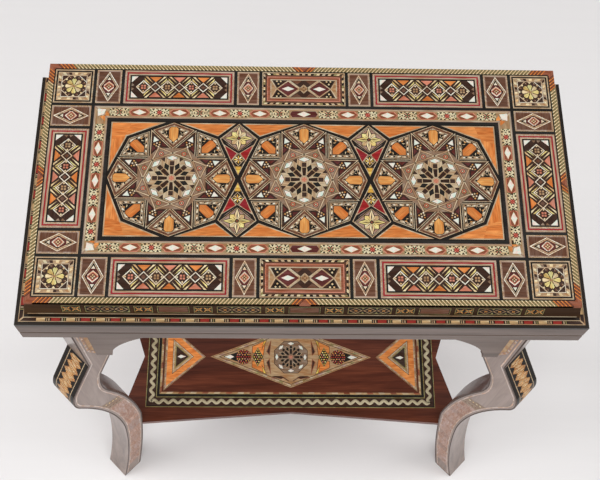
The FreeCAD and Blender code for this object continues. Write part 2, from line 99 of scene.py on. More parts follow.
def surface(name, look, coat=0.0, metal=0.0, bump=0.1, shine=0.3):
    """Material from a look that gives its colour, roughness and height."""
    material = bpy.data.materials.new(name)
    material.use_nodes = True
    tree = material.node_tree
    shader = tree.nodes["Principled BSDF"]
    colour, rough, height = look(Shade(tree))
    grooves = {"Strength": bump, "Distance": RELIEF, "Height": height}
    relief = height.node("ShaderNodeBump", {}, grooves)
    tree.links.new(colour.socket, shader.inputs["Base Color"])
    tree.links.new(rough.socket, shader.inputs["Roughness"])
    tree.links.new(relief.socket, shader.inputs["Normal"])
    shader.inputs["Specular IOR Level"].default_value = shine
    shader.inputs["Coat Weight"].default_value = coat
    shader.inputs["Coat Roughness"].default_value = VARNISH_ROUGHNESS
    shader.inputs["Metallic"].default_value = metal
    return material


FIGURE_ALONG, FIGURE_ACROSS = 5.0, 70.0
PORES_ALONG, PORES_ACROSS = 28.0, 900.0


def wood_look(dark, middle, light, along, gloss=0.3):
    """Figure and pores of a board whose grain runs along one axis."""
    figure_scale = [FIGURE_ALONG if axis == along else FIGURE_ACROSS for axis in "xyz"]
    pore_scale = [PORES_ALONG if axis == along else PORES_ACROSS for axis in "xyz"]

    def look(shade):
        place = shade.node("ShaderNodeTexCoord", {}, {}, "Object")
        wide = shade.node("ShaderNodeMapping", {}, {"Vector": place, "Scale": figure_scale})
        fine = shade.node("ShaderNodeMapping", {}, {"Vector": place, "Scale": pore_scale})
        waves = {"Scale": 1.0, "Detail": 5.0, "Roughness": 0.62, "Distortion": 0.6}
        specks = {"Scale": 1.0, "Detail": 2.0}
        figure = shade.node("ShaderNodeTexNoise", {}, {"Vector": wide, **waves})
        pores = shade.node("ShaderNodeTexNoise", {}, {"Vector": fine, **specks})
        tone = figure * 0.75 + pores * 0.25
        stops = ((0.34, dark), (0.66, light), (0.5, middle))
        colour = shade.node("ShaderNodeValToRGB", {"stops": stops}, {"Fac": tone})
        return colour, gloss + pores * 0.16, pores

    return look


def dress(material, *nodes):
    """Give CAD pieces their finish."""
    for node in nodes:
        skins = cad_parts[node].data.materials
        skins.clear()
        skins.append(material)


WALNUT = ((0.056, 0.034, 0.025), (0.102, 0.067, 0.052), (0.152, 0.108, 0.087))
LEDGE_BLACK = (0.022, 0.016, 0.012, 1.0)
LEDGE_STAIN = 0.7112


def ledge_look(along):
    """Walnut whose upper face is stained black, as a border for the lid."""
    def look(shade):
        colour, rough, pores = wood_look(*WALNUT, along)(shade)
        place = shade.node("ShaderNodeTexCoord", {}, {}, "Object")
        height = shade.node("ShaderNodeSeparateXYZ", {}, {0: place}, "Z")
        upper = height.sum("GREATER_THAN", height, LEDGE_STAIN)
        stain_and_shade = {0: upper, 6: colour, 7: LEDGE_BLACK}
        return shade.node("ShaderNodeMix", {"data_type": "RGBA"}, stain_and_shade, 2), rough, pores

    return look


satin = {"coat": 0.08, "shine": 0.14}
for along, sides in (("x", ("front", "back")), ("y", ("left", "right"))):
    walnut = surface("walnut_along_" + along, wood_look(*WALNUT, along), **satin)
    ledge_walnut = surface("ledge_walnut_along_" + along, ledge_look(along), **satin)
    for side in sides:
        dress(walnut, "box_rail_" + side, "apron_" + side)
        dress(ledge_walnut, "ledge_" + side)

LEG_WALNUT = ((0.108, 0.066, 0.050), (0.190, 0.128, 0.102), (0.265, 0.192, 0.160))
# Dark red painted shade for the leg faces that turn in towards the middle of the table.
LEG_PAINTED_SHADE = (0.085, 0.028, 0.022, 1.0)
INWARD = 0.45
CORNERS = {
    "front_left": (-1, -1), "front_right": (1, -1), "back_left": (-1, 1), "back_right": (1, 1),
}


def leg_look(shade):
    """Walnut darkened towards red on the faces that turn in under the table: painted shade."""
    colour, rough, pores = wood_look(*LEG_WALNUT, "z")(shade)
    inward = 0.0
    for axis in "XY":
        place = shade.node("ShaderNodeTexCoord", {}, {}, "Object")
        facing = shade.node("ShaderNodeTexCoord", {}, {}, "Normal")
        spot = shade.node("ShaderNodeSeparateXYZ", {}, {0: place}, axis)
        slope = shade.node("ShaderNodeSeparateXYZ", {}, {0: facing}, axis)
        corner = shade.node("ShaderNodeMath", {"operation": "SIGN"}, {0: spot})
        inward = inward - corner * slope
    # Faces turned in under the table get the painted shade.
    inner = inward.sum("GREATER_THAN", inward, INWARD)
    stain_and_shade = {0: inner * 0.8, 6: colour, 7: LEG_PAINTED_SHADE}
    return shade.node("ShaderNodeMix", {"data_type": "RGBA"}, stain_and_shade, 2), rough, pores


leg_walnut = surface("leg_walnut", leg_look, coat=0.35)
for corner in CORNERS:
    dress(leg_walnut, "leg_" + corner)

# Bottom board of the box, lid core and dowels: plain poplar, sanded and left
# bare, seen when the lid is open.
POPLAR = ((0.42, 0.29, 0.17), (0.52, 0.38, 0.24), (0.60, 0.46, 0.31))
poplar = surface("bare_poplar", wood_look(*POPLAR, "x", gloss=0.55))
dress(poplar, "box_bottom", "lid_core_board", "shelf_dowels")

# Lid sides: dark walnut, painted near-black as painted shade, mitred at the corners
# and leaning outwards, with a cove at the foot that shades the seam with the ledge.
# Near-black colour: the walnut's own dark tone with painted shade added.
SHADE_DARKENED_WALNUT = ((0.024, 0.011, 0.005), (0.042, 0.020, 0.009), (0.072, 0.036, 0.016))
for along, sides in (("x", ("front", "back")), ("y", ("left", "right"))):
    look = wood_look(*SHADE_DARKENED_WALNUT, along, gloss=0.45)
    shade_darkened = surface("stained_walnut_along_" + along, look, shine=0.05)
    for side in sides:
        dress(shade_darkened, "lid_" + side + "_side")

# Straps and field frame: blackened pear wood strips, glued between the tiles
# and polished flush with them.
BLACKENED = ((0.010, 0.009, 0.008), (0.018, 0.016, 0.014), (0.034, 0.030, 0.026))
look = wood_look(*BLACKENED, "x", gloss=0.34)
dress(surface("blackened_pear", look, coat=0.05, shine=0.08), "dark_straps", "field_frame")

# Hinges and screws: drawn brass butt hinges and steel countersunk screws,
# with faint brush marks from the polishing wheel.
BRASS = ((0.50, 0.33, 0.10), (0.66, 0.46, 0.17), (0.78, 0.58, 0.26))
STEEL = ((0.34, 0.34, 0.35), (0.46, 0.46, 0.47), (0.60, 0.60, 0.61))
brass = surface("brushed_brass", wood_look(*BRASS, "x", gloss=0.22), metal=1.0, bump=0.05)
steel = surface("brushed_steel", wood_look(*STEEL, "z", gloss=0.26), metal=1.0, bump=0.05)
for side in ("left", "right"):
    dress(brass, "hinge_lid_leaf_" + side, "hinge_box_leaf_" + side, "hinge_pin_" + side)
dress(brass, "hinge_lid_screws", "hinge_box_screws")
dress(steel, "leg_screws")


# Corner tiles: square marquetry tiles of end-grain rods, sawn across, glued in
# a black and bone frame round an eight-petalled flower.
MM = 0.001
TOP, VENEER_FLOOR = 740.0, 738.5
LEAF, LEAVES = 0.02, 10
GRAIN_SPREAD, GRAIN_UNIT = 40, 10
LIGHT_SPREAD = (0.86, 1.12)
WARM_SPREAD = (0.95, 1.05)
WOODS = {
    "black": (0.016, 0.013, 0.011),
    "umber": (0.050, 0.026, 0.018),
    "brown": (0.150, 0.070, 0.042),
    "russet": (0.270, 0.090, 0.048),
    "maroon": (0.120, 0.030, 0.026),
    "crimson": (0.300, 0.020, 0.024),
    "red": (0.420, 0.045, 0.034),
    "blush": (0.380, 0.245, 0.195),
    "maple": (0.520, 0.400, 0.330),
    "salmon": (0.600, 0.230, 0.150),
    "orange": (0.690, 0.240, 0.062),
    "amber": (0.640, 0.300, 0.085),
    "yellow": (0.740, 0.500, 0.100),
    "lemon": (0.760, 0.640, 0.250),
    "cream": (0.770, 0.625, 0.370),
    "bone": (0.810, 0.705, 0.530),
    "pale": (0.525, 0.400, 0.255),
    "taupe": (0.270, 0.185, 0.125),
    "grey": (0.415, 0.290, 0.220),
    "tan": (0.430, 0.270, 0.140),
    "olive": (0.300, 0.260, 0.110),
    "green": (0.075, 0.110, 0.050),
    "pearl": (0.860, 0.820, 0.780),
}


def rect(cx, cy, width, depth):
    x0, x1, y0, y1 = cx - width / 2, cx + width / 2, cy - depth / 2, cy + depth / 2
    return [(x0, y0), (x1, y0), (x1, y1), (x0, y1)]


def diamond(cx, cy, reach_x, reach_y):
    return [(cx - reach_x, cy), (cx, cy - reach_y), (cx + reach_x, cy), (cx, cy + reach_y)]


def polar(reach, degrees, cx=0.0, cy=0.0):
    turn = math.radians(degrees)
    return (cx + reach * math.cos(turn), cy + reach * math.sin(turn))


def fan(turn, *spots):
    """Points given by a reach and an angle from a ray."""
    return [polar(reach, turn + side) for reach, side in spots]


def flip(way, end, *spots):
    """Points mirrored by the signs of x and y."""
    return [(way * x, end * y) for x, y in spots]


def ray_kite(near, wide, far, half_turn, turn, cx=0.0, cy=0.0):
    """A kite along a ray, widest at one reach."""
    return [
        polar(near, turn, cx, cy), polar(wide, turn - half_turn, cx, cy),
        polar(far, turn, cx, cy), polar(wide, turn + half_turn, cx, cy),
    ]


def blend(start, end, share):
    return (start[0] + (end[0] - start[0]) * share, start[1] + (end[1] - start[1]) * share)


def turned_left(points):
    """The same outline, running anticlockwise."""
    area = 0.0
    for (x0, y0), (x1, y1) in zip(points, points[1:] + points[:1]):
        area += x0 * y1 - x1 * y0
    return list(points) if area > 0 else list(reversed(points))


def inset(points, depth):
    """Outline of a straight-sided piece, moved in by a depth."""
    points = turned_left(points)
    edges = []
    for (x0, y0), (x1, y1) in zip(points, points[1:] + points[:1]):
        length = math.hypot(x1 - x0, y1 - y0)
        dx, dy = (x1 - x0) / length, (y1 - y0) / length
        edges.append((x0 - dy * depth, y0 + dx * depth, dx, dy))
    moved = []
    for (ax, ay, adx, ady), (bx, by, bdx, bdy) in zip(edges[-1:] + edges[:-1], edges):
        cross = adx * bdy - ady * bdx
        share = ((bx - ax) * bdy - (by - ay) * bdx) / cross
        moved.append((ax + adx * share, ay + ady * share))
    return moved


class Mosaic:
    """Cut pieces of veneer in millimetres, laid leaf over leaf as one mesh."""

    def __init__(self, seed):
        self.cuts = []
        self.dice = random.Random(seed)

    def lay(self, wood, points, level, grain=0.0):
        self.cuts.append((wood, turned_left(points), level, grain))

    def nest(self, points, level, *bands):
        """Concentric pieces: pairs of a wood and its depth from the outline."""
        for place, (wood, depth) in enumerate(bands):
            self.lay(wood, inset(points, depth) if depth else points, level + place)

    def beads(self, points, depth, width, size, woods, level):
        """Short blocks of changing wood along the inside of an outline."""
        outer, inner = inset(points, depth), inset(points, depth + width)
        count = 0
        for side in range(len(outer)):
            after = (side + 1) % len(outer)
            steps = max(1, round(math.dist(inner[side], inner[after]) / size))
            for step in range(steps):
                a, b = step / steps, (step + 1) / steps
                block = [
                    blend(outer[side], outer[after], a), blend(outer[side], outer[after], b),
                    blend(inner[side], inner[after], b), blend(inner[side], inner[after], a),
                ]
                self.lay(woods[count % len(woods)], block, level)
                count += 1

    def petals(self, cx, cy, count, reach, half_turn, woods, level, first=0.0, waist=0.58):
        """Kite petals round a middle."""
        for place in range(count):
            turn = first + 360.0 * place / count
            kite = ray_kite(0, reach * waist, reach, half_turn, turn, cx, cy)
            self.lay(woods[place % len(woods)], kite, level, turn)

    def line(self, wood, points, width, level):
        """Thin stringing along a broken line."""
        for (x0, y0), (x1, y1) in zip(points, points[1:]):
            length = math.hypot(x1 - x0, y1 - y0)
            nx, ny = (y0 - y1) / length * width / 2, (x1 - x0) / length * width / 2
            strip = [
                (x0 - nx, y0 - ny), (x1 - nx, y1 - ny), (x1 + nx, y1 + ny), (x0 + nx, y0 + ny),
            ]
            self.lay(wood, strip, level, math.degrees(math.atan2(y1 - y0, x1 - x0)))

    def mesh(self, name, floor=VENEER_FLOOR, top=TOP):
        """Closed blocks from the floor up to the top leaf, in metres."""
        corners, faces, tints, grains = [], [], [], []
        for wood, points, level, grain in self.cuts:
            start, count = len(corners), len(points)
            height = top - LEAVES * LEAF + level * LEAF
            shift = (self.dice.random() * GRAIN_SPREAD, self.dice.random() * GRAIN_SPREAD)
            light = self.dice.uniform(*LIGHT_SPREAD)
            warm = self.dice.uniform(*WARM_SPREAD)
            red, green, blue = WOODS[wood]
            kind = 0.0 if wood == "pearl" else 1.0
            tint = (red * light * warm, green * light, blue * light / warm, kind)
            corners += [(x * MM, y * MM, floor * MM) for x, y in points]
            corners += [(x * MM, y * MM, height * MM) for x, y in points]
            upper = start + count
            blocks = [tuple(range(upper, upper + count)), tuple(reversed(range(start, upper)))]
            for side in range(count):
                after = (side + 1) % count
                blocks.append((start + side, start + after, upper + after, upper + side))
            turn = math.radians(grain)
            for block in blocks:
                for corner in block:
                    x, y = points[(corner - start) % count]
                    along = x * math.cos(turn) + y * math.sin(turn)
                    across = y * math.cos(turn) - x * math.sin(turn)
                    grains += [along / GRAIN_UNIT + shift[0], across / GRAIN_UNIT + shift[1]]
                    tints += tint
            faces += blocks
        mesh = bpy.data.meshes.new(name)
        mesh.from_pydata(corners, [], faces)
        mesh.uv_layers.new(name="grain").data.foreach_set("uv", grains)
        colours = mesh.color_attributes.new("tint", "FLOAT_COLOR", "CORNER")
        colours.data.foreach_set("color", tints)
        return mesh


FINE_GRAIN, BROAD_GRAIN = (0.8, 9.0, 1.0), (0.35, 1.7, 1.0)
FINE_STOPS = ((0.3, (0.62, 0.58, 0.55)), (0.7, (1.12, 1.1, 1.06)))
WARM_STOPS = ((0.36, (0.88, 0.72, 0.60)), (0.62, (1.1, 1.22, 1.36)))
SHELL_STOPS = ((0.35, (0.74, 0.58, 0.51)), (0.65, (0.56, 0.68, 0.59)), (0.5, (0.76, 0.71, 0.61)))


def veneer_look(shade):
    """Tint of each cut piece, its fine and broad grain, and the sheen of shell."""
    tint = shade.node("ShaderNodeAttribute", {"attribute_name": "tint"}, {}, "Color")
    kind = shade.node("ShaderNodeAttribute", {"attribute_name": "tint"}, {}, "Alpha")
    place = shade.node("ShaderNodeUVMap", {"uv_map": "grain"}, {}, "UV")
    fine = shade.node("ShaderNodeMapping", {}, {"Vector": place, "Scale": FINE_GRAIN})
    grain = shade.node("ShaderNodeTexNoise", {}, {"Vector": fine, "Scale": 1.0, "Detail": 4.0})
    figure = shade.node("ShaderNodeValToRGB", {"stops": FINE_STOPS}, {"Fac": grain})
    broad = shade.node("ShaderNodeMapping", {}, {"Vector": place, "Scale": BROAD_GRAIN})
    clouds = {"Vector": broad, "Scale": 1.0, "Detail": 3.0, "Distortion": 1.2}
    cloud = shade.node("ShaderNodeTexNoise", {}, clouds)
    flame = shade.node("ShaderNodeValToRGB", {"stops": WARM_STOPS}, {"Fac": cloud})
    multiply = {"data_type": "RGBA", "blend_type": "MULTIPLY"}
    plain = shade.node("ShaderNodeMix", multiply, {0: 1.0, 6: tint, 7: figure}, 2)
    wood = shade.node("ShaderNodeMix", multiply, {0: 1.0, 6: plain, 7: flame}, 2)
    ripple = shade.node("ShaderNodeTexNoise", {}, {"Vector": place, "Scale": 3.0, "Detail": 2.0})
    shell = shade.node("ShaderNodeValToRGB", {"stops": SHELL_STOPS}, {"Fac": ripple})
    colour = shade.node("ShaderNodeMix", {"data_type": "RGBA"}, {0: kind, 6: shell, 7: wood}, 2)
    return colour, 0.22 + kind * 0.12 + grain * 0.14, grain * kind


veneer = surface("cut_veneer", veneer_look, coat=0.06, bump=0.06, shine=0.1)


def new_tree(name, inputs):
    """Empty Geometry Nodes tree, the start of its graph and its named inputs."""
    tree = bpy.data.node_groups.new(name, "GeometryNodeTree")
    for label, kind in inputs.items():
        tree.interface.new_socket(label, in_out="INPUT", socket_type="NodeSocket" + kind)
    tree.interface.new_socket("Geometry", in_out="OUTPUT", socket_type="NodeSocketGeometry")
    given = tree.nodes.new("NodeGroupInput").outputs
    return tree, Shade(tree), {label: Shade(tree, given[label]) for label in inputs}


def end_tree(instances, finish):
    """Real geometry with its finish, as the result of a tree."""
    tree = instances.tree
    real = instances.node("GeometryNodeRealizeInstances", {}, {"Geometry": instances})
    skin = real.node("GeometryNodeSetMaterial", {}, {"Geometry": real, "Material": finish})
    tree.links.new(skin.socket, tree.nodes.new("NodeGroupOutput").inputs[0])


def grown(tree, values):
    """Plain mesh that a tree gives for the values of its inputs."""
    holder = bpy.data.objects.new(tree.name, bpy.data.meshes.new(tree.name))
    bpy.context.scene.collection.objects.link(holder)
    modifier = holder.modifiers.new(tree.name, "NODES")
    modifier.node_group = tree
    for item in tree.interface.items_tree:
        if item.in_out == "INPUT":
            modifier[item.identifier] = values[item.name]
    graph = bpy.context.evaluated_depsgraph_get()
    mesh = bpy.data.meshes.new_from_object(holder.evaluated_get(graph))
    bpy.data.objects.remove(holder)
    return mesh


motif_grid, start, given = new_tree("motif_grid", {
    "Motif": "Object", "Finish": "Material", "Columns": "Int", "Rows": "Int", "Size X": "Float",
    "Size Y": "Float", "First Turn": "Float", "Turn Step": "Float", "Centre": "Vector",
})
spots = start.node("GeometryNodeMeshGrid", {}, {
    "Size X": given["Size X"], "Size Y": given["Size Y"],
    "Vertices X": given["Columns"], "Vertices Y": given["Rows"],
})
spots = start.node("GeometryNodeTransform", {}, {
    "Geometry": spots, "Translation": given["Centre"],
})
index = start.node("GeometryNodeInputIndex", {}, {})
turns = {0: index, 1: given["Turn Step"], 2: given["First Turn"]}
spin = start.node("ShaderNodeMath", {"operation": "MULTIPLY_ADD"}, turns)
spin = start.node("ShaderNodeCombineXYZ", {}, {"Z": spin})
motif = start.node("GeometryNodeObjectInfo", {}, {"Object": given["Motif"]}, "Geometry")
copies = {"Points": spots, "Instance": motif, "Rotation": spin}
end_tree(start.node("GeometryNodeInstanceOnPoints", {}, copies), given["Finish"])


def repeat(motif, columns=1, rows=1, size=(0.0, 0.0), centre=(0.0, 0.0), first=0.0, turn=0.0):
    """Copies of a motif on a grid in millimetres, as one mesh."""
    source = bpy.data.objects.new("motif", motif)
    bpy.context.scene.collection.objects.link(source)
    mesh = grown(motif_grid, {
        "Motif": source, "Finish": veneer, "Columns": columns, "Rows": rows,
        "Size X": size[0] * MM, "Size Y": size[1] * MM, "First Turn": math.radians(first),
        "Turn Step": math.radians(turn), "Centre": (centre[0] * MM, centre[1] * MM, 0.0),
    })
    bpy.data.objects.remove(source)
    return mesh


def piece(name, meshes, body, slot, *nodes):
    """One finished piece from its meshes, standing for CAD nodes."""
    made = []
    for mesh in meshes:
        made.append(bpy.data.objects.new(name, mesh))
        bpy.context.scene.collection.objects.link(made[-1])
        if not mesh.materials:
            mesh.materials.append(veneer)
    if len(made) > 1:
        with bpy.context.temp_override(active_object=made[0], selected_editable_objects=made):
            bpy.ops.object.join()
    made[0].name = name
    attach(made[0], body)
    if nodes:
        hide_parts(*nodes)


LID_MID_Y = 6.25
LID_MIDDLE = (0, LID_MID_Y)
TILE = 37.8
TILE_X, TILE_Y = 224.6, 99.6
tile = Mosaic(3)
tile_square = rect(0, 0, TILE, TILE)
tile.nest(tile_square, 0, ("pale", 0), ("black", 1.3), ("pale", 2.9))
tile_beads = ("cream", "pale", "tan", "cream", "pale", "umber", "taupe")
tile.beads(tile_square, 3.5, 2.6, 2.6, tile_beads, 3)
tile.nest(tile_square, 3, ("taupe", 6.1), ("bone", 6.6), ("umber", 7.2))
for turn in range(0, 360, 45):
    if turn % 90:
        tile.line("bone", fan(turn, (12.6, -22.5), (12.6, 22.5)), 0.7, 7)
    tile.lay("cream", fan(turn, (11.6, -8), (11.6, 8), (9.4, 0)), 7)
    tile.lay("brown", fan(turn, (11.4, 12), (11.4, 19), (7.6, 22.5)), 6)
    tile.lay("pale", fan(turn, (9.6, 22.5), (11.2, 24.6), (11.2, 20.4)), 7)
tile.petals(0, 0, 8, 9.4, 18, ("lemon", "cream", "lemon"), 8, 0, 0.78)
for turn in range(0, 360, 45):
    tile.lay("umber", fan(turn, (9.6, -7), (9.6, 7), (7.6, 0)), 9)
tile.petals(0, 0, 8, 4.8, 9, ("brown", "umber"), 9, 22.5, 0.7)
tile.petals(0, 0, 4, 1.8, 30, ("russet",), 9.5, 45)
corner_grid = repeat(tile.mesh("corner_tile"), 2, 2, (2 * TILE_X, 2 * TILE_Y), LID_MIDDLE)
piece("corner_tiles_marquetry", [corner_grid], "lid", "mosaic_inlay", "corner_tiles")


# Lozenge tiles: a walnut tile with a long diamond of bone lines, ebony tips
# and a small mosaic in its middle. Three sizes fill the outer row.
def lozenge_mesh(width, seed):
    tile = Mosaic(seed)
    half = width / 2
    tile.nest(rect(0, 0, width, TILE), 0, ("pale", 0), ("grey", 0.8), ("brown", 1.9))
    tall = diamond(0, 0, half - 2.2, TILE / 2 - 1.9)
    tile.nest(tall, 3, ("bone", 0), ("brown", 0.8), ("pale", 1.3), ("maroon", 2.2))
    for end in (-1, 1):
        tile.lay("black", flip(1, end, (0, 13.4), (-2.9, 7.4), (2.9, 7.4)), 7)
        tile.lay("bone", flip(1, end, (-1.8, 7.6), (1.8, 7.6), (0, 10.6)), 8)
        tile.lay("black", flip(end, 1, (4.8, 2.6), (4.8, -2.6), (half - 5.4, 0)), 7)
    small = diamond(0, 0, half - 5.4, 5.9)
    tile.nest(small, 7, ("bone", 0), ("salmon", 0.8), ("maroon", 1.7))
    for turn in range(0, 360, 90):
        cx, cy = polar(1.5, turn)
        tile.lay("cream", diamond(cx, cy, 0.9, 1.0), 10)
    return tile.mesh("lozenge")


LOZENGES = (
    (24.1, 11, 190.65, TILE_Y, 0), (21.5, 12, 54.55, TILE_Y, 0), (22.6, 13, TILE_X, 66.4, 90),
)
lozenges = []
for width, seed, x, y, turn in LOZENGES:
    lozenge = lozenge_mesh(width, seed)
    lozenges.append(repeat(lozenge, 2, 2, (2 * x, 2 * y), LID_MIDDLE, turn))
piece("lozenge_tiles_marquetry", lozenges, "lid", "mosaic_inlay", "lozenge_tiles")


# Long and side panels: a strip of four diamonds of star mosaic between orange
# wedges, framed by grey and crimson lines, with shell at the ends.
PANEL_EDGE = 7.0


def star_strip_mesh(length, seed):
    panel = Mosaic(seed)
    panel.nest(
        rect(0, 0, length, TILE), 0, ("grey", 0), ("pale", 0.8), ("grey", 1.4), ("crimson", 2.2),
        ("grey", 3.7), ("pale", 4.5), ("black", 5.4), ("umber", PANEL_EDGE),
    )
    half, high = length / 2 - PANEL_EDGE, TILE / 2 - PANEL_EDGE
    step = half / 2
    rays = {
        "cream": ((2.4, 4.6), (8.0, high), (10.4, high)),
        "lemon": ((4.4, 2.4), (11.0, 10.4), (10.6, 7.4)),
    }
    for place in range(4):
        cx = (place - 1.5) * step
        big = diamond(cx, 0, 8.2, 8.8)
        panel.nest(big, 7.6, ("black", 0), ("bone", 0.6), ("umber", 1.5))
        for turn in range(0, 360, 90):
            dot_x, dot_y = polar(1.9, turn + 45, cx, 0)
            panel.lay("tan" if place % 2 else "salmon", rect(dot_x, dot_y, 1.9, 1.9), 10)
            dot_x, dot_y = polar(4.7, turn, cx, 0)
            panel.lay("cream", diamond(dot_x, dot_y, 1.0, 1.0), 10)
    for place in range(3):
        cx = (place - 1) * step
        small = diamond(cx, 0, 5.4, 5.4)
        panel.nest(small, 7.8, ("bone", 0), ("umber", 0.8), ("brown", 2.2))
        for end in (-1, 1):
            wood = "salmon" if (place == 1) == (end > 0) else "orange"
            wedge = flip(1, end, (cx, 5.2), (cx - 7.2, high), (cx + 7.2, high))
            panel.nest(wedge, 7.4, ("black", 0), (wood, 0.5))
            for way in (-1, 1):
                for wood, ray in rays.items():
                    panel.lay(wood, [(cx + way * x, end * y) for x, y in ray], 7.5)
    for end in (-1, 1):
        for way in (-1, 1):
            nook = flip(way, end, (half, high), (half - 6.2, high), (half, high - 6.8))
            panel.lay("pearl", nook, 9)
            nook = flip(way, end, (half, high - 7.4), (half - 2.6, 2.0), (half, 0.4))
            panel.lay("taupe", nook, 8)
    return panel.mesh("star_strip")


LONG_PANEL, LONG_PANEL_X, SIDE_PANEL = 107.3, 121.95, 104.2
long_strip = star_strip_mesh(LONG_PANEL, 21)
long_grid = repeat(long_strip, 2, 2, (2 * LONG_PANEL_X, 2 * TILE_Y), LID_MIDDLE)
piece("long_panels_marquetry", [long_grid], "lid", "mosaic_inlay", "long_panels")
side_grid = repeat(star_strip_mesh(SIDE_PANEL, 22), 2, 1, (2 * TILE_X, 0), LID_MIDDLE, 90)
piece("side_panels_marquetry", [side_grid], "lid", "mosaic_inlay", "side_panels")

# Middle panels: pale strings crossed over dark walnut, with a shell lozenge in
# each net, in a padauk frame with a beaded edge.
MIDDLE_PANEL = 81.6
NET_EDGE = 9.1
NET_X, NET_Y = MIDDLE_PANEL / 2 - NET_EDGE, TILE / 2 - NET_EDGE
panel = Mosaic(31)
outline = rect(0, 0, MIDDLE_PANEL, TILE)
panel.nest(outline, 0, ("pale", 0), ("umber", 1.0))
panel_beads = ("cream", "black", "pale", "umber", "cream", "olive", "black")
panel.beads(outline, 1.3, 1.7, 2.8, panel_beads, 2)
panel.nest(outline, 2, ("brown", 3.2), ("salmon", 5.0), ("russet", 5.7), ("pale", 8.0))
panel.lay("umber", inset(outline, NET_EDGE), 6)
for way in (-1, 1):
    panel.nest(diamond(way * 15.4, 0, 11.8, NET_Y), 7, ("pale", 0), ("maroon", 1.1))
    panel.lay("pearl", diamond(way * 15.4, 0, 6.2, 2.6), 9)
    for end in (-1, 1):
        panel.lay("black", flip(way, end, (29.6, NET_Y), (25.4, 1.4), (19.6, NET_Y)), 7)
        for x, y in ((22.6, 8.6), (26.4, 8.6), (24.8, 5.6)):
            panel.lay("cream", diamond(way * x, end * y, 1.1, 1.1), 8)
        panel.lay("brown", flip(way, end, (1.6, NET_Y), (12.6, NET_Y), (6.6, 5.0)), 7)
        panel.line("pale", flip(way, end, (3.4, 0.6), (14.0, NET_Y - 0.4)), 1.1, 8)
    panel.lay("tan", flip(way, 1, (NET_X, NET_Y), (NET_X, -NET_Y), (26.6, 0)), 7)
    panel.line("pale", flip(way, 1, (NET_X, NET_Y), (26.6, 0), (NET_X, -NET_Y)), 1.1, 8)
panel.nest(diamond(0, 0, 5.2, 5.2), 8, ("pale", 0), ("tan", 0.9))
for turn in range(0, 360, 90):
    cx, cy = polar(1.7, turn)
    panel.lay("brown", diamond(cx, cy, 0.9, 0.9), 10)
middle_grid = repeat(panel.mesh("middle_panel"), 1, 2, (0, 2 * TILE_Y), LID_MIDDLE)
piece("middle_panels_marquetry", [middle_grid], "lid", "mosaic_inlay", "middle_panels")


# Inner band: shell diamonds on padauk hexagons, alternating with rosettes of
# sawn rod mosaic, between two bone lines. Mitred at the corners.
def shell_hexagon(name, seed, reach, shoulder, high, *woods):
    """A shell diamond on a long hexagon of darker wood."""
    motif = Mosaic(seed)
    hexagon = [
        (-reach, 0), (-shoulder, -high), (shoulder, -high),
        (reach, 0), (shoulder, high), (-shoulder, high),
    ]
    motif.nest(hexagon, 3, *woods)
    motif.nest(diamond(0, 0, 6.8, 3.1), 5, ("cream", 0), ("pearl", 0.3))
    return motif.mesh(name)


BAND = 13.4
BAND_X, BAND_Y = 202.7, 77.7
shell_motif = shell_hexagon("band_shell", 41, 10.2, 6.4, 4.2, ("salmon", 0), ("russet", 0.8))
long_shell_motif = shell_hexagon(
    "band_long_shell", 40, 14.0, 11.6, 3.9, ("pale", 0), ("maroon", 0.5),
)
ROSETTE_RODS = (
    ("black", (4.6, 4.2), (7.4, 4.2), (5.8, 1.9)), ("green", (9.2, 4.0), (9.2, 1.2), (7.4, 2.4)),
    ("black", (7.0, 1.7), (8.8, 0.6), (6.2, 0.4)), ("umber", (1.2, 4.3), (3.6, 4.3), (2.6, 3.0)),
)
rosettes = []
for seed, heart in ((42, "red"), (43, "green")):
    rosette = Mosaic(seed)
    rosette.lay("cream", rect(0, 0, 18.4, 8.6), 3)
    rosette.petals(0, 0, 8, 4.3, 14, ("black",), 4, 22.5, 0.62)
    rosette.petals(0, 0, 4, 3.4, 22, ("salmon",), 5, 45)
    rosette.petals(0, 0, 4, 2.6, 34, (heart,), 6, 0)
    for way in (-1, 1):
        for end in (-1, 1):
            for wood, *rod in ROSETTE_RODS:
                rosette.lay(wood, flip(way, end, *rod), 4)
        rosette.lay("umber", diamond(way * 5.0, 0, 0.9, 1.2), 4)
    rosettes.append(rosette.mesh("band_rosette"))
FIRST_SHELL, SHELLS, FIRST_ROSETTE = 42.8, 4, 23.6


def band_mesh(reach, period, long_side, forward):
    """A mitred band, its outer edge towards the front."""
    ground = Mosaic(45)
    half = BAND / 2
    outline = [(-reach, -half), (reach, -half), (reach - BAND, half), (half * 2 - reach, half)]
    ground.nest(outline, 0, ("grey", 0), ("pale", 0.7), ("tan", 1.9))
    x = reach - half
    for way in (-1, 1):
        ground.lay("orange", flip(way, 1, (x - 3.4, 4.4), (x - 10.0, 4.4), (x - 5.4, -1.0)), 3)
        ground.lay("pearl", flip(way, 1, (x + 3.4, -3.4), (x - 2.6, 2.6), (x - 4.6, -2.8)), 4)
    meshes = [ground.mesh("band_ground")]
    if long_side:
        meshes.append(repeat(long_shell_motif))
        run = (SHELLS - 1) * period
        for way in (-1, 1):
            middle = way * (FIRST_SHELL + run / 2)
            meshes.append(repeat(shell_motif, SHELLS, 1, (run, 0), (middle, 0)))
            for place, motif in enumerate(rosettes):
                middle = way * (FIRST_SHELL + (1.5 + place) * period)
                meshes.append(repeat(motif, 2, 1, (2 * period, 0), (middle, 0)))
            meshes.append(repeat(rosettes[1], centre=(way * FIRST_ROSETTE, 0)))
    else:
        meshes.append(repeat(shell_motif, 3, 1, (2 * period, 0), (forward, 0)))
        meshes.append(repeat(rosettes[0], 4, 1, (3 * period, 0), (forward, 0)))
    return meshes


def set_round(meshes, turn, centre):
    """Meshes of one side, turned and moved to their place."""
    return [repeat(mesh, centre=centre, first=turn) for mesh in meshes]


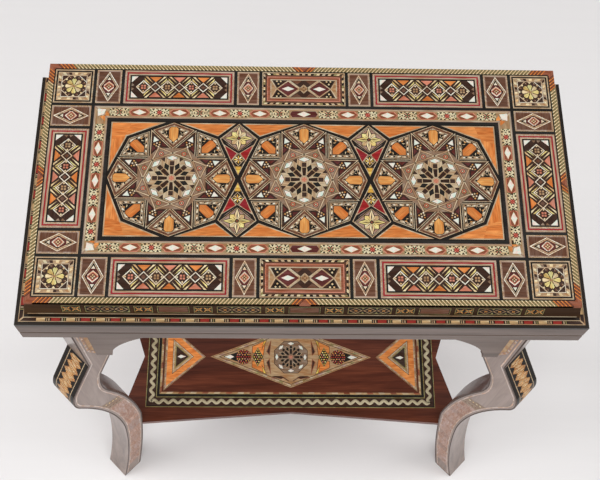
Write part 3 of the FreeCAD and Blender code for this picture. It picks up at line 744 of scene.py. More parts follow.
LONG_PERIOD, SHORT_PERIOD, SHORT_SHIFT = 38.8, 34.6, 3.6
BAND_SIDES = {
    "front": (0, (0, LID_MID_Y - BAND_Y + BAND / 2), BAND_X, LONG_PERIOD, True, 0.0),
    "back": (180, (0, LID_MID_Y + BAND_Y - BAND / 2), BAND_X, LONG_PERIOD, True, 0.0),
    "left": (-90, (-BAND_X + BAND / 2, LID_MID_Y), BAND_Y, SHORT_PERIOD, False, SHORT_SHIFT),
    "right": (90, (BAND_X - BAND / 2, LID_MID_Y), BAND_Y, SHORT_PERIOD, False, -SHORT_SHIFT),
}
for side, (turn, centre, reach, period, long_side, forward) in BAND_SIDES.items():
    strips = set_round(band_mesh(reach, period, long_side, forward), turn, centre)
    name = "inlay_band_" + side
    piece(name + "_marquetry", strips, "lid", "mosaic_inlay", name)


# Centre field: three eight-pointed stars, each of kites, shell and strings, in
# black straps, with bow ties between them and orange spandrels outside.
def ray_bar(near, near_half, far, far_half, turn):
    """A tapered bar along a ray."""
    return [
        polar(near, turn - near_half), polar(far, turn - far_half),
        polar(far, turn + far_half), polar(near, turn + near_half),
    ]


def shell_drop(mosaic, reach, turn, along, across, level):
    """A rhombus of shell with a dark edge, lying across a ray."""
    long_way, short_way = Vector(polar(along, turn + 90)), Vector(polar(across, turn))
    middle = Vector(polar(reach, turn))
    rhombus = [middle - long_way, middle - short_way, middle + long_way, middle + short_way]
    mosaic.nest([tuple(corner) for corner in rhombus], level, ("umber", 0), ("pearl", 0.45))


FIELD_X, FIELD_Y = 186.3, 61.3
STAR_STEP = 125.0
STAR = 61.0
POINT = 22.5
EDGE = STAR * math.cos(math.radians(POINT))
HEART = 30.2
RING = 35.0
BROWN_STRAP = (("pale", 1.0), ("brown", 1.6), ("pale", 3.7))
BLACK_STRAP = (("pale", 1.3), ("black", 1.9), ("pale", 2.6))
SHIELD = (
    (38.0, 0), (43.0, -6.4), (53.6, -5.3), (55.6, -2.8), (55.6, 2.8), (53.6, 5.3), (43.0, 6.4),
)
RHOMB_DOTS = (
    (40.4, 0, "bone"), (40.2, 4, "amber"), (40.2, -4, "amber"),
    (38.0, 2.3, "cream"), (38.0, -2.3, "cream"), (36.2, 0, "bone"),
)
quarter = Mosaic(51)
for turn, shield, strap in ((0, "amber", BROWN_STRAP), (45, "orange", BLACK_STRAP)):
    arm = turn + POINT
    kite = fan(turn, (STAR, 0), (EDGE, POINT), (HEART, 0), (EDGE, -POINT))
    edge = strap[-1][1]
    quarter.nest(kite, 1, ("black", 0), *strap, ("umber", edge + 0.6))
    quarter.beads(kite, edge + 0.8, 1.2, 2.0, ("bone", "black", "pale"), 6)
    quarter.lay("pale", inset(kite, edge + 2.2), 6)
    tip, left, foot, right = inset(kite, edge + 2.7)
    quarter.lay("black", [tip, left, foot, right], 7)
    for way, side in ((1, left), (-1, right)):
        for share, reach in ((0.26, 49.0), (0.5, 45.4), (0.74, 41.4)):
            spot = blend(polar(reach + 1.0, turn + way * 8.0), blend(side, foot, share), 0.8)
            tooth = [polar(reach + 1.9, turn + way * 7.6), spot, polar(reach, turn + way * 8.0)]
            quarter.lay("cream", tooth, 7.5)
        tooth = [blend(side, tip, 0.2), blend(side, tip, 0.42), polar(51.0, turn + way * 9.0)]
        quarter.lay("amber", tooth, 7.6)
    outline = fan(turn, *SHIELD)
    quarter.lay("umber", outline, 8)
    quarter.lay(shield, inset(outline, 0.6), 9, turn)
    rhomb = fan(arm, (EDGE, 0), (HEART, POINT), (20.0, 0), (HEART, -POINT))
    quarter.nest(rhomb, 1, ("pale", 0), ("umber", 0.7))
    tooth = fan(arm, (49.4, 0), (42.2, 5.0), (42.2, -5.0))
    quarter.nest(tooth, 3, ("black", 0), ("pearl", 0.5))
    for way in (-1, 1):
        wing = fan(arm, (41.2, way * 6.8), (35.4, way * 3.4), (33.4, way * 15.6))
        quarter.nest(wing, 3, ("black", 0), ("maroon", 0.5))
    for reach, side, wood in RHOMB_DOTS:
        cx, cy = polar(reach, arm + side)
        quarter.lay(wood, diamond(cx, cy, 0.95, 0.95), 4)
    quarter.lay("taupe", ray_kite(0, 32.0, RING, POINT, arm), 5)
    ground = fan(arm, (22.0, -14), (33.6, 0), (22.0, 14))
    quarter.lay("olive" if turn else "taupe", ground, 5.5)
    quarter.line("brown", fan(arm, (RING, 0), (RING, 90)), 2.2, 5.8)
    quarter.line("pale", fan(arm, (RING, 0), (RING, 90)), 1.1, 6)
    cx, cy = polar(28.0, arm)
    button = [polar(2.9, side, cx, cy) for side in range(0, 360, 45)]
    quarter.nest(button, 6.5, ("umber", 0), ("salmon", 0.5), ("brown", 1.3))
    quarter.lay("cream", diamond(cx, cy, 0.8, 0.8), 9)
    quarter.lay("pale", ray_kite(0, 22.4, 25.6, POINT, turn), 7)
    shell_drop(quarter, 21.4, turn, 6.3, 2.9, 8)
    quarter.lay("cream", ray_kite(7.8, 13.4, 18.2, 13, arm), 8.7)
    bar = ray_bar(4.4, 18, 12.8, 9.4, turn)
    quarter.lay("black", bar, 9)
    quarter.lay("umber", inset(bar, 0.7), 9.5)
    quarter.lay("black", ray_kite(8.4, 13.4, 17.6, 11.4, arm), 9)
    quarter.lay("umber", ray_bar(13.6, 9.4, 18.2, 6.5, turn), 9)
    quarter.lay("umber", fan(arm, (18.6, 0), (23.2, -6), (23.2, 6)), 9)
    quarter.lay("salmon", ray_kite(0, 2.0, 3.0, 20, turn), 9)
star = repeat(quarter.mesh("star_quarter"), 4, 1, turn=90)
stars = repeat(star, 3, 1, (2 * STAR_STEP, 0), LID_MIDDLE)

SHOULDER = STAR * math.sqrt(0.5)
PINCH = STAR_STEP / 2
FLOWER_Y, BUD_Y = 43.6, 20.5
FLOWER_PETALS = (
    (14.0, 26, ("black",), 7, 0, 0.5), (9.8, 23, ("black",), 7, 45, 0.8),
    (12.8, 21, ("lemon", "cream"), 8, 0, 0.5), (9.0, 20, ("cream", "lemon"), 8, 45, 0.8),
    (10.6, 6, ("umber", "black"), 8.6, 0, 0.5), (6.0, 5, ("brown",), 8.6, 45, 0.6),
)
tie = Mosaic(52)
bow = [(0, FIELD_Y - 0.4), (SHOULDER - PINCH, SHOULDER), (0, 1.2), (PINCH - SHOULDER, SHOULDER)]
tie.nest(bow, 1, ("black", 0), ("pale", 1.1), ("umber", 1.8), ("black", 2.5))
tie.nest(diamond(0, FLOWER_Y, 16.0, 14.0), 4.6, ("pale", 0), ("umber", 0.6), ("blush", 1.1))
for reach, half_turn, woods, level, first, waist in FLOWER_PETALS:
    tie.petals(0, FLOWER_Y, 4, reach, half_turn, woods, level, first, waist)
tie.nest(diamond(0, FLOWER_Y, 2.4, 2.4), 8.9, ("black", 0), ("russet", 0.9))
for way in (-1, 1):
    tie.lay("blush", flip(way, 1, (13.0, 39.4), (1.2, 29.4), (10.0, 36.2)), 6)
    wing = flip(way, 1, (14.6, 37.0), (0.8, 27.4), (7.2, 18.4))
    tie.nest(wing, 6, ("pale", 0), ("crimson", 0.6))
tie.nest(diamond(0, BUD_Y, 5.8, 7.0), 7, ("pale", 0), ("black", 0.6))
tie.petals(0, BUD_Y, 8, 4.4, 15, ("yellow", "cream"), 9, 0, 0.66)
tie.lay("russet", diamond(0, BUD_Y, 1.2, 1.2), 9.5)
tie.lay("yellow", [(-3.0, 13.0), (3.0, 13.0), (0, 4.6)], 7)
tie.line("umber", [(-3.6, 13.4), (3.6, 13.4)], 0.9, 8)
for way in (-1, 1):
    slope = flip(
        way, 1, (PINCH - 5.0, FIELD_Y - 1.6), (3.0, FIELD_Y - 1.6),
        (PINCH - SHOULDER + 0.6, SHOULDER + 2.4),
    )
    tie.nest(slope, 1, ("pale", 0), ("orange", 1.0))
tie_mesh = tie.mesh("bow_tie")
ties = [repeat(tie_mesh, 2, 1, (STAR_STEP, 0), LID_MIDDLE, first) for first in (0, 180)]

RIM, STRING = 1.2, 1.1
spandrels = Mosaic(53)
spandrels.lay("black", rect(0, 0, 2 * FIELD_X, 2 * FIELD_Y), 0)
for way in (-1, 1):
    for end in (-1, 1):
        elbow, corner, low, flat = flip(
            way, end, (STAR_STEP + SHOULDER + 1.4, SHOULDER + 1.4),
            (FIELD_X - RIM, FIELD_Y - RIM), (FIELD_X - RIM, 7.0),
            (STAR_STEP + 8.0, FIELD_Y - RIM),
        )
        for wood, depth, level in (("pale", 0.0, 1), ("orange", STRING, 2)):
            spandrels.lay(wood, inset([low, corner, elbow], depth), level, 90)
            spandrels.lay(wood, inset([corner, flat, elbow], depth), level)
        patch = [elbow, blend(corner, low, 0.4), corner, blend(corner, flat, 0.4)]
        spandrels.lay("orange", inset(patch, STRING), 3)
field = [repeat(spandrels.mesh("spandrels"), centre=LID_MIDDLE), stars] + ties
piece("centre_field_marquetry", field, "lid", "centre_marquetry", "centre_field")

# Rope edging: slanting slips of maple, olive and ebony glued as a rope strip,
# mirrored at the middle of each side, with orange slips at ends and middle.
ROPE, ROPE_FLOOR = 6.0, 736.0
ROPE_LINE = 0.7
SLIP, SLANT = 3.6, 4.6
ROPE_GAP, ROPE_END = 2.6, 9.0
WARM_MIDDLE, WARM_END = 2, 4
ROPE_WOODS = {"plain": ("cream", "olive"), "warm": ("orange", "russet")}
rope_cells = {}
for kind, (light, dark) in ROPE_WOODS.items():
    for way in (-1, 1):
        cell = Mosaic(61)
        cuts = ((light, 0.0, 1.4), ("umber", 1.4, 1.9), (dark, 1.9, 3.0), ("black", 3.0, SLIP))
        low, high = SLANT / 2 * way, -SLANT / 2 * way
        front, back = -ROPE / 2, ROPE / 2 - ROPE_LINE
        for wood, start, end in cuts:
            slip = [(start + low, front), (end + low, front)]
            slip += [(end + high, back), (start + high, back)]
            cell.lay(wood, [(x - SLIP / 2, y) for x, y in slip], 8)
        rope_cells[kind, way] = cell.mesh("rope_slips", ROPE_FLOOR)


def rope_mesh(half):
    """Rope strip of a half length, its outer edge towards the front."""
    core = Mosaic(62)
    inner = half - ROPE
    mitred = [(-half, -ROPE / 2), (half, -ROPE / 2), (inner, ROPE / 2), (-inner, ROPE / 2)]
    core.lay("russet", mitred, 5)
    core.lay("black", rect(0, ROPE / 2 - ROPE_LINE / 2, 2 * inner, ROPE_LINE), 8)
    meshes = [core.mesh("rope_core", ROPE_FLOOR)]
    count = int((half - ROPE_END) / SLIP)
    end = count - WARM_END
    runs = (("warm", 0, WARM_MIDDLE), ("plain", WARM_MIDDLE, end), ("warm", end, count))
    for way in (-1, 1):
        for kind, first, last in runs:
            number = last - first
            middle = way * (ROPE_GAP + SLIP * (first + last) / 2)
            run = (number - 1) * SLIP
            meshes.append(repeat(rope_cells[kind, way], number, 1, (run, 0), (middle, 0)))
    return meshes


LID_HALF_X, LID_HALF_Y = 250.0, 125.0
ROPE_X, ROPE_Y = LID_HALF_X - ROPE / 2, LID_HALF_Y - ROPE / 2
ROPE_SIDES = {
    "front": (0, (0, LID_MID_Y - ROPE_Y), LID_HALF_X),
    "back": (180, (0, LID_MID_Y + ROPE_Y), LID_HALF_X),
    "left": (-90, (-ROPE_X, LID_MID_Y), LID_HALF_Y),
    "right": (90, (ROPE_X, LID_MID_Y), LID_HALF_Y),
}
for side, (turn, centre, half) in ROPE_SIDES.items():
    name = "rope_edging_" + side
    piece(name + "_slips", set_round(rope_mesh(half), turn, centre), "lid", "rope_edging", name)

# Tablets on the leaning lid sides: small pieces of veneer between dark gaps,
# glued on the slope under the rope edging: plain, square mosaic and lozenges.
SLOPE_RUN, SLOPE_DROP = 3.4, 17.0
SLOPE_LENGTH = math.hypot(SLOPE_RUN, SLOPE_DROP)
TABLET_HIGH, TABLET_GAP, TABLET_RAISE = 12.4, 2.8, 1.2
TABLET_FLOOR, TABLET_TOP, TABLET_END = -1.0, 0.2, 4.0
SLOPE_LINE, SLOPE_LINE_UP = 0.9, 1.6
PLAIN, SQUARE, LONG = 30.0, 18.0, 41.0
plain = Mosaic(71)
outline = rect(0, 0, PLAIN, TABLET_HIGH)
plain.nest(outline, 0, ("umber", 0), ("olive", 0.7), ("black", 1.2), ("brown", 2.0))
square = Mosaic(72)
square.nest(rect(0, 0, SQUARE, TABLET_HIGH), 0, ("umber", 0), ("olive", 0.7), ("black", 1.3))
for cx in (-4.0, 4.0):
    square.petals(cx, 0, 4, 5.2, 12, ("amber",), 3, 45)
    square.petals(cx, 0, 4, 3.0, 24, ("olive",), 4)
    square.lay("russet", diamond(cx, 0, 1.2, 1.2), 5)
lozenge = Mosaic(73)
lozenge.nest(rect(0, 0, LONG, TABLET_HIGH), 0, ("umber", 0), ("olive", 0.7), ("black", 1.3))
for place in range(3):
    cx = (place - 1) * 12.6
    lozenge.nest(diamond(cx, 0, 6.2, 4.8), 3, ("tan", 0), ("black", 0.7), ("umber", 1.8))
    lozenge.petals(cx, 0, 4, 2.0, 26, ("amber",), 6, 45)
    for end in (-1, 1):
        nook = flip(1, end, (cx + 5.0, 4.7), (cx + 7.6, 4.7), (cx + 6.3, 2.2))
        lozenge.lay("olive", nook, 3)
TABLETS = ((plain, PLAIN), (square, SQUARE), (lozenge, LONG), (square, SQUARE))


def tablet_row(half):
    """Tablets from the middle outwards, and the pale line below them."""
    line = Mosaic(74)
    line.lay("pale", rect(0, -SLOPE_LENGTH / 2 + SLOPE_LINE_UP, 2 * half, SLOPE_LINE), 9)
    meshes = [line.mesh("slope_line", TABLET_FLOOR, TABLET_TOP)]
    middle_tablet = plain.mesh("tablet", TABLET_FLOOR, TABLET_TOP)
    meshes.append(repeat(middle_tablet, centre=(0, TABLET_RAISE)))
    reach, place = PLAIN / 2, 1
    while True:
        mosaic, width = TABLETS[place % len(TABLETS)]
        middle = reach + TABLET_GAP + width / 2
        if middle + width / 2 > half - TABLET_END:
            return meshes
        tablet = mosaic.mesh("tablet", TABLET_FLOOR, TABLET_TOP)
        meshes.append(repeat(tablet, 2, 1, (2 * middle, 0), (0, TABLET_RAISE)))
        reach = middle + width / 2
        place += 1


satin_veneer = surface("satin_veneer", veneer_look, bump=0.06, shine=0.05)
LID_FRONT = LID_MID_Y - LID_HALF_Y
tilt = Matrix.Rotation(math.atan2(SLOPE_DROP, SLOPE_RUN), 4, "X")
SLOPES = {
    "front": (0, (0.0, LID_FRONT - SLOPE_RUN / 2), LID_HALF_X),
    "left": (-90, (-LID_HALF_X - SLOPE_RUN / 2, LID_MID_Y), LID_HALF_Y),
    "right": (90, (LID_HALF_X + SLOPE_RUN / 2, LID_MID_Y), LID_HALF_Y),
}
for side, (turn, centre, half) in SLOPES.items():
    spot = Vector((*centre, ROPE_FLOOR - SLOPE_DROP / 2)) * MM
    place = Matrix.Translation(spot) @ Matrix.Rotation(math.radians(turn), 4, "Z") @ tilt
    tablets = tablet_row(half)
    for mesh in tablets:
        mesh.transform(place)
        mesh.materials.clear()
        mesh.materials.append(satin_veneer)
    piece("lid_tablets_" + side, tablets, "lid", "mosaic_inlay")

# Ledge bands: bone lines round long slips of lemon wood and padauk with short
# ebony dashes between them, let into the ledge in front of the lid.
LEDGE_TOP, LEDGE_FLOOR, LEDGE_BAND, LEDGE_SLIP = 715.0, 714.0, 4.7, 2.7
LEDGE_SLIPS = (
    ("cream", 8.0), ("black", 1.0), ("pale", 1.0), ("black", 1.0), ("pale", 1.0), ("umber", 1.5),
    ("red", 8.0), ("umber", 1.5), ("pale", 1.0), ("black", 1.0), ("olive", 1.0), ("black", 1.0),
)
SEGMENT = sum(length for wood, length in LEDGE_SLIPS)
segment = Mosaic(81)
x = -SEGMENT / 2
for wood, length in LEDGE_SLIPS:
    segment.lay(wood, rect(x + length / 2, 0, length, LEDGE_SLIP), 7)
    x += length
segment_motif = segment.mesh("ledge_slips", LEDGE_FLOOR, LEDGE_TOP)


def ledge_band_mesh(ends):
    """A band between two cut ends, filled with whole segments."""
    ground = Mosaic(82)
    (left_out, left_in), (right_out, right_in) = ends
    half = LEDGE_BAND / 2
    outline = [(left_out, -half), (right_out, -half), (right_in, half), (left_in, half)]
    ground.nest(outline, 3, ("pale", 0), ("umber", 0.7))
    low, high = max(left_out, left_in), min(right_out, right_in)
    count = int((high - low) / SEGMENT)
    middle = (low + high) / 2
    row = repeat(segment_motif, count, 1, ((count - 1) * SEGMENT, 0), (middle, 0))
    return [ground.mesh("ledge_ground", LEDGE_FLOOR, LEDGE_TOP), row]


LEDGE_SIDES = {
    "front": (0, (0, -125.7), ((-259.3, -254.6), (259.3, 254.6))),
    "left": (-90, (-256.95, 0), ((-131.25, -131.25), (128.05, 123.35))),
    "right": (90, (256.95, 0), ((-128.05, -123.35), (131.25, 131.25))),
}
for side, (turn, centre, ends) in LEDGE_SIDES.items():
    strips = set_round(ledge_band_mesh(ends), turn, centre)
    name = "ledge_band_" + side
    piece(name + "_slips", strips, "stand", "segment_band", name)

# Leg stringing: a thin maple line let into both flat faces of each S-shaped
# leg, just inside a dark edge line, with a tan shield on the post and slats of
# pale wood below the knee.
CORNER_REACH, LEG_LINE, LEG_HALF = 185.616, 140.0, 18.0


def arc(start, middle, end, steps):
    """Points of the circle through three points, without the last one."""
    (ax, ay), (bx, by), (cx, cy) = start, middle, end
    scale = 2 * (ax * (by - cy) + bx * (cy - ay) + cx * (ay - by))
    a, b, c = ax * ax + ay * ay, bx * bx + by * by, cx * cx + cy * cy
    ox = (a * (by - cy) + b * (cy - ay) + c * (ay - by)) / scale
    oy = (a * (cx - bx) + b * (ax - cx) + c * (bx - ax)) / scale
    first = math.atan2(ay - oy, ax - ox)
    through = (math.atan2(by - oy, bx - ox) - first + math.pi) % (2 * math.pi) - math.pi
    last = (math.atan2(cy - oy, cx - ox) - first + math.pi) % (2 * math.pi) - math.pi
    if through * last < 0 or abs(through) > abs(last):
        last -= math.copysign(2 * math.pi, last)
    reach = math.hypot(ax - ox, ay - oy)
    turns = [first + last * step / steps for step in range(steps)]
    return [(ox + reach * math.cos(turn), oy + reach * math.sin(turn)) for turn in turns]


def rim(inset_by, z):
    """A point of the leg's outline, in from the corner of the box."""
    return (CORNER_REACH - inset_by, z)


POST_OUT, POST_IN, POST_TOP = 42.0, 75.0, 679.0
NECK_SPOT, KNEE_SPOT, NOSE_SPOT = rim(POST_OUT, 520.0), rim(10.0, 472.0), rim(5.0, 448.0)
CHIN_SPOT, ANKLE_SPOT, TOE_SPOT = rim(10.0, 422.0), rim(42.5, 222.0), rim(4.2, 0.0)
HEEL_SPOT, CALF_SPOT = rim(35.2, 0.0), rim(72.5, 222.0)
THIGH_SPOT, BACK_SPOT = rim(49.0, 405.0), rim(51.0, 474.0)
leg_outline = [rim(POST_OUT, POST_TOP), NECK_SPOT]
leg_outline += arc(KNEE_SPOT, NOSE_SPOT, CHIN_SPOT, 6)
leg_outline += arc(CHIN_SPOT, rim(33.0, 338.0), ANKLE_SPOT, 12)
leg_outline += arc(ANKLE_SPOT, rim(31.5, 122.0), TOE_SPOT, 12)
leg_outline += [TOE_SPOT]
leg_outline += arc(HEEL_SPOT, rim(57.0, 105.0), CALF_SPOT, 12)
leg_outline += arc(CALF_SPOT, rim(65.0, 326.0), THIGH_SPOT, 12)
leg_outline += arc(THIGH_SPOT, rim(45.0, 440.0), BACK_SPOT, 6)
leg_outline += [BACK_SPOT, rim(POST_IN, 511.0), rim(POST_IN, POST_TOP)]
STRING_INSET, STRING_WIDTH = 4.6, 1.4
EDGE_INSET, EDGE_WIDTH = 0.9, 1.5
SHIELD_INSET = 5.5
CHIN_INDEX, THIGH_INDEX = 8, 57
FIRST_SLAT, SLATS_END, DOTTED_SLATS = 3, 22, {3: "cream", 4: "brown"}
STRING_FLOOR, STRING_TOP = LEG_HALF - 0.5, LEG_HALF + 0.12
strings = Mosaic(91)
string_line = inset(leg_outline, STRING_INSET)
strings.line("maple", string_line + string_line[:1], STRING_WIDTH, 8)
leg_edge = inset(leg_outline, EDGE_INSET)
strings.line("umber", leg_edge + leg_edge[:1], EDGE_WIDTH, 8)
neck_x = CORNER_REACH - POST_OUT - SHIELD_INSET
post_x = CORNER_REACH - POST_IN + SHIELD_INSET
shield = [
    (neck_x, 668.0), (post_x, 668.0), (post_x, 560.0), ((neck_x + post_x) / 2, 528.0),
    (neck_x, 560.0),
]
strings.nest(shield, 3, ("maple", 0), ("blush", 1.3), ("tan", 4.6))
strings.beads(shield, 1.5, 2.2, 3.4, ("blush", "tan", "maple"), 6)
for place in range(FIRST_SLAT, SLATS_END):
    out, back = CHIN_INDEX + place, THIGH_INDEX - place - 1
    slat = string_line[out:out + 2] + string_line[back:back + 2]
    if place not in DOTTED_SLATS:
        strings.lay("blush", slat, 6, 90)
        continue
    strings.lay("taupe", slat, 6)
    for share in (0.2, 0.4, 0.6, 0.8):
        cx, cy = blend(blend(slat[0], slat[1], 0.5), blend(slat[2], slat[3], 0.5), share)
        strings.lay(DOTTED_SLATS[place], diamond(cx, cy, 1.5, 2.0), 7)
upright = Matrix(((1, 0, 0, 0), (0, 0, -1, 0), (0, 1, 0, 0), (0, 0, 0, 1)))
mirrored = Matrix.Scale(-1, 4, (0, 1, 0)) @ upright
leg_places = {}
for corner, (sx, sy) in CORNERS.items():
    facing = Matrix.Rotation(math.atan2(sy, sx), 4, "Z")
    leg_places[corner] = Matrix.Translation((sx * LEG_LINE * MM, 0, 0)) @ facing
for corner, place in leg_places.items():
    faces = []
    for side in (upright, mirrored):
        mesh = strings.mesh("leg_strings", STRING_FLOOR, STRING_TOP)
        mesh.transform(side)
        if side is mirrored:
            mesh.flip_normals()
        mesh.transform(place)
        faces.append(mesh)
    piece("leg_stringing_" + corner, faces, "stand", "mosaic_inlay")

# Knee inlays: stepped zigzag of orange and tan slips between black steps, let
# into the sloping face above each knee and bent round its nose, slip by slip.
KNEE_WIDTH, KNEE_FLOOR, KNEE_TOP = 35.4, -1.4, 0.12
SLOPE_STEPS, NOSE_STEPS = 40, 36
knee_path = [blend(NECK_SPOT, KNEE_SPOT, step / SLOPE_STEPS) for step in range(SLOPE_STEPS)]
knee_path += arc(KNEE_SPOT, NOSE_SPOT, CHIN_SPOT, NOSE_STEPS) + [CHIN_SPOT]
KNEE_LINE, KNEE_LINE_OUT, KNEE_SEED = 0.9, 12.0, 950
ZIGZAG_FIRST, ZIGZAG_LAST, ZIGZAG_STEP = 2, 66, 1.5


def knee_slip(place, length):
    """One slip across the knee, with its step of the zigzag."""
    row = Mosaic(KNEE_SEED + place)
    row.lay("black", rect(0, 0, length, KNEE_WIDTH), 6)
    for way in (-1, 1):
        row.lay("pale", rect(0, way * KNEE_LINE_OUT, length, KNEE_LINE), 7)
    if ZIGZAG_FIRST <= place <= ZIGZAG_LAST:
        sway = (abs(place % 8 - 4) - 2) * ZIGZAG_STEP
        row.lay("brown", rect(0, sway, length, 15.4), 7)
        row.lay("amber" if place % 2 else "tan", rect(0, sway, length * 0.8, 14.6), 8)
        row.lay("cream", rect(0, sway + (place % 3) * 3.0 - 3.0, length * 0.45, 5.0), 9)
    return row.mesh("knee_slip", KNEE_FLOOR, KNEE_TOP)


for corner, leg_place in leg_places.items():
    slips = []
    for place, (start, end) in enumerate(zip(knee_path, knee_path[1:])):
        along = Vector((end[0] - start[0], 0, end[1] - start[1]))
        middle = Vector((start[0] + end[0], 0, start[1] + end[1])) / 2
        mesh = knee_slip(place, along.length)
        along.normalize()
        normal = Vector((-along.z, 0, along.x))
        turned = Matrix((along, normal.cross(along), normal)).transposed().to_4x4()
        mesh.transform(leg_place @ Matrix.Translation(middle * MM) @ turned)
        slips.append(mesh)
    piece("knee_marquetry_" + corner, slips, "stand", "mosaic_inlay", "knee_inlay_" + corner)

# Shelf: a notched mahogany board, varnished, housed in the four legs and
# dowelled to them.
MAHOGANY = ((0.042, 0.010, 0.005), (0.088, 0.021, 0.010), (0.160, 0.042, 0.019))
mahogany = surface("varnished_mahogany", wood_look(*MAHOGANY, "x"), coat=0.2, shine=0.15)
dress(mahogany, "shelf_board")

# Shelf border: a black band with a waving maple string between thin gold lines
# and a tan inner line, let into the board. The string is bent on a form.
SHELF_TOP, SHELF_FLOOR = 178.0, 176.8
BORDER_X, BORDER_Y = 208.0, 75.0
BORDER_LINES = (
    (0.0, 1.0, 16.0, ("olive",), 3), (1.0, 1.3, 16.0, ("black",), 3),
    (2.3, 0.6, 16.0, ("umber",), 3), (2.9, 10.8, 16.0, ("umber",), 3),
    (13.7, 0.6, 16.0, ("black",), 3), (14.3, 1.0, 16.0, ("olive",), 3),
    (15.3, 1.7, 16.0, ("black",), 3), (17.0, 2.1, 16.0, ("black",), 14),
    (19.1, 0.5, 16.0, ("olive",), 14), (19.6, 2.6, 8.5, ("tan", "pale", "tan", "russet"), 14),
)
border = Mosaic(101)
outline = rect(0, 0, 2 * BORDER_X, 2 * BORDER_Y)
for depth, width, size, woods, level in BORDER_LINES:
    border.beads(outline, depth, width, size, woods, level)
border_mesh = border.mesh("shelf_border", SHELF_FLOOR, SHELF_TOP)
piece("shelf_border_bands", [border_mesh], "stand", "shelf_inlay", "shelf_wave_border")

MAPLE = ((0.34, 0.28, 0.17), (0.46, 0.39, 0.25), (0.56, 0.48, 0.32))
maple = surface("bent_maple", wood_look(*MAPLE, "x"), coat=0.1, shine=0.15)
WAVE_PERIOD, WAVE_SWING, WAVE_LINE = 13.6, 2.2, 4.2
WAVE_DEPTH, WAVE_SINK, WAVE_POINTS = 1.0, 0.54, 260
WAVE_INSET = 8.3
wave_string, start, given = new_tree("wave_string", {
    "Length": "Float", "Period": "Float", "Swing": "Float", "Width": "Float",
    "Finish": "Material",
})
far_end = start.node("ShaderNodeCombineXYZ", {}, {"X": given["Length"]})
run = start.node("GeometryNodeCurvePrimitiveLine", {}, {"End": far_end})
run = start.node("GeometryNodeResampleCurve", {}, {"Curve": run, "Count": WAVE_POINTS})
spot = start.node("GeometryNodeInputPosition", {}, {})
along = start.node("ShaderNodeSeparateXYZ", {}, {0: spot}, "X")
phase = along / given["Period"] * (2 * math.pi)
swing = start.node("ShaderNodeMath", {"operation": "SINE"}, {0: phase}) * given["Swing"]
aside = start.node("ShaderNodeCombineXYZ", {}, {"Y": swing})
bent = start.node("GeometryNodeSetPosition", {}, {"Geometry": run, "Offset": aside})
section = start.node("GeometryNodeCurvePrimitiveQuadrilateral", {}, {
    "Width": given["Width"], "Height": WAVE_DEPTH * MM,
})
string = {"Curve": bent, "Profile Curve": section, "Fill Caps": True}
end_tree(start.node("GeometryNodeCurveToMesh", {}, string), given["Finish"])
waves = []
for turn, reach, out in (
    (0, BORDER_X, BORDER_Y), (90, BORDER_Y, BORDER_X),
    (180, BORDER_X, BORDER_Y), (270, BORDER_Y, BORDER_X),
):
    length = 2 * (reach - WAVE_INSET)
    period = length / round(length / WAVE_PERIOD)
    mesh = grown(wave_string, {
        "Length": length * MM, "Period": period * MM, "Swing": WAVE_SWING * MM,
        "Width": WAVE_LINE * MM, "Finish": maple,
    })
    spot = Vector((WAVE_INSET - reach, WAVE_INSET - out, SHELF_TOP - WAVE_SINK)) * MM
    mesh.transform(Matrix.Rotation(math.radians(turn), 4, "Z") @ Matrix.Translation(spot))
    waves.append(mesh)
piece("shelf_wave_string", waves, "stand", "shelf_inlay")

# Shelf medallion: a long rhombus edged in tan strings, with a shell rosette in
# the middle, red mosaic discs, orange wedges and shell drops at the tips.
RHOMB_X, RHOMB_Y = 117.5, 46.0
DISC_X, DOTTED_X = 69.0, 48.5
DOT_STEP_X, DOT_STEP_Y = 3.4, 3.5
MEDALLION_LEAVES = (
    (((57, 6.0), (57, 16.0), (37, 25.5), (40, 2.0)), 7, ("umber", 0), ("orange", 0.7)),
    (((43, 10.6), (40, 24.0), (35, 26.4)), 8.1, ("umber", 0), ("yellow", 0.5)),
    (((31, 2.0), (36, 8.0), (29, 27.0), (30, 12.0)), 7, ("russet", 0), ("umber", 1.0)),
    (((8.0, 30.0), (24.0, 28.6), (27.0, 30.4), (14.0, 33.4)), 7, ("russet", 0), ("umber", 0.7)),
)
medallion = Mosaic(111)
rhomb = diamond(0, 0, RHOMB_X, RHOMB_Y)
medallion.nest(rhomb, 0, ("tan", 0), ("umber", 1.2), ("cream", 1.8))
medallion.nest(rhomb, 3, ("tan", 2.4), ("umber", 4.4), ("tan", 5.2))
medallion.beads(rhomb, 2.0, 2.2, 6.0, ("pale", "tan", "blush", "pale", "olive", "tan"), 5.5)
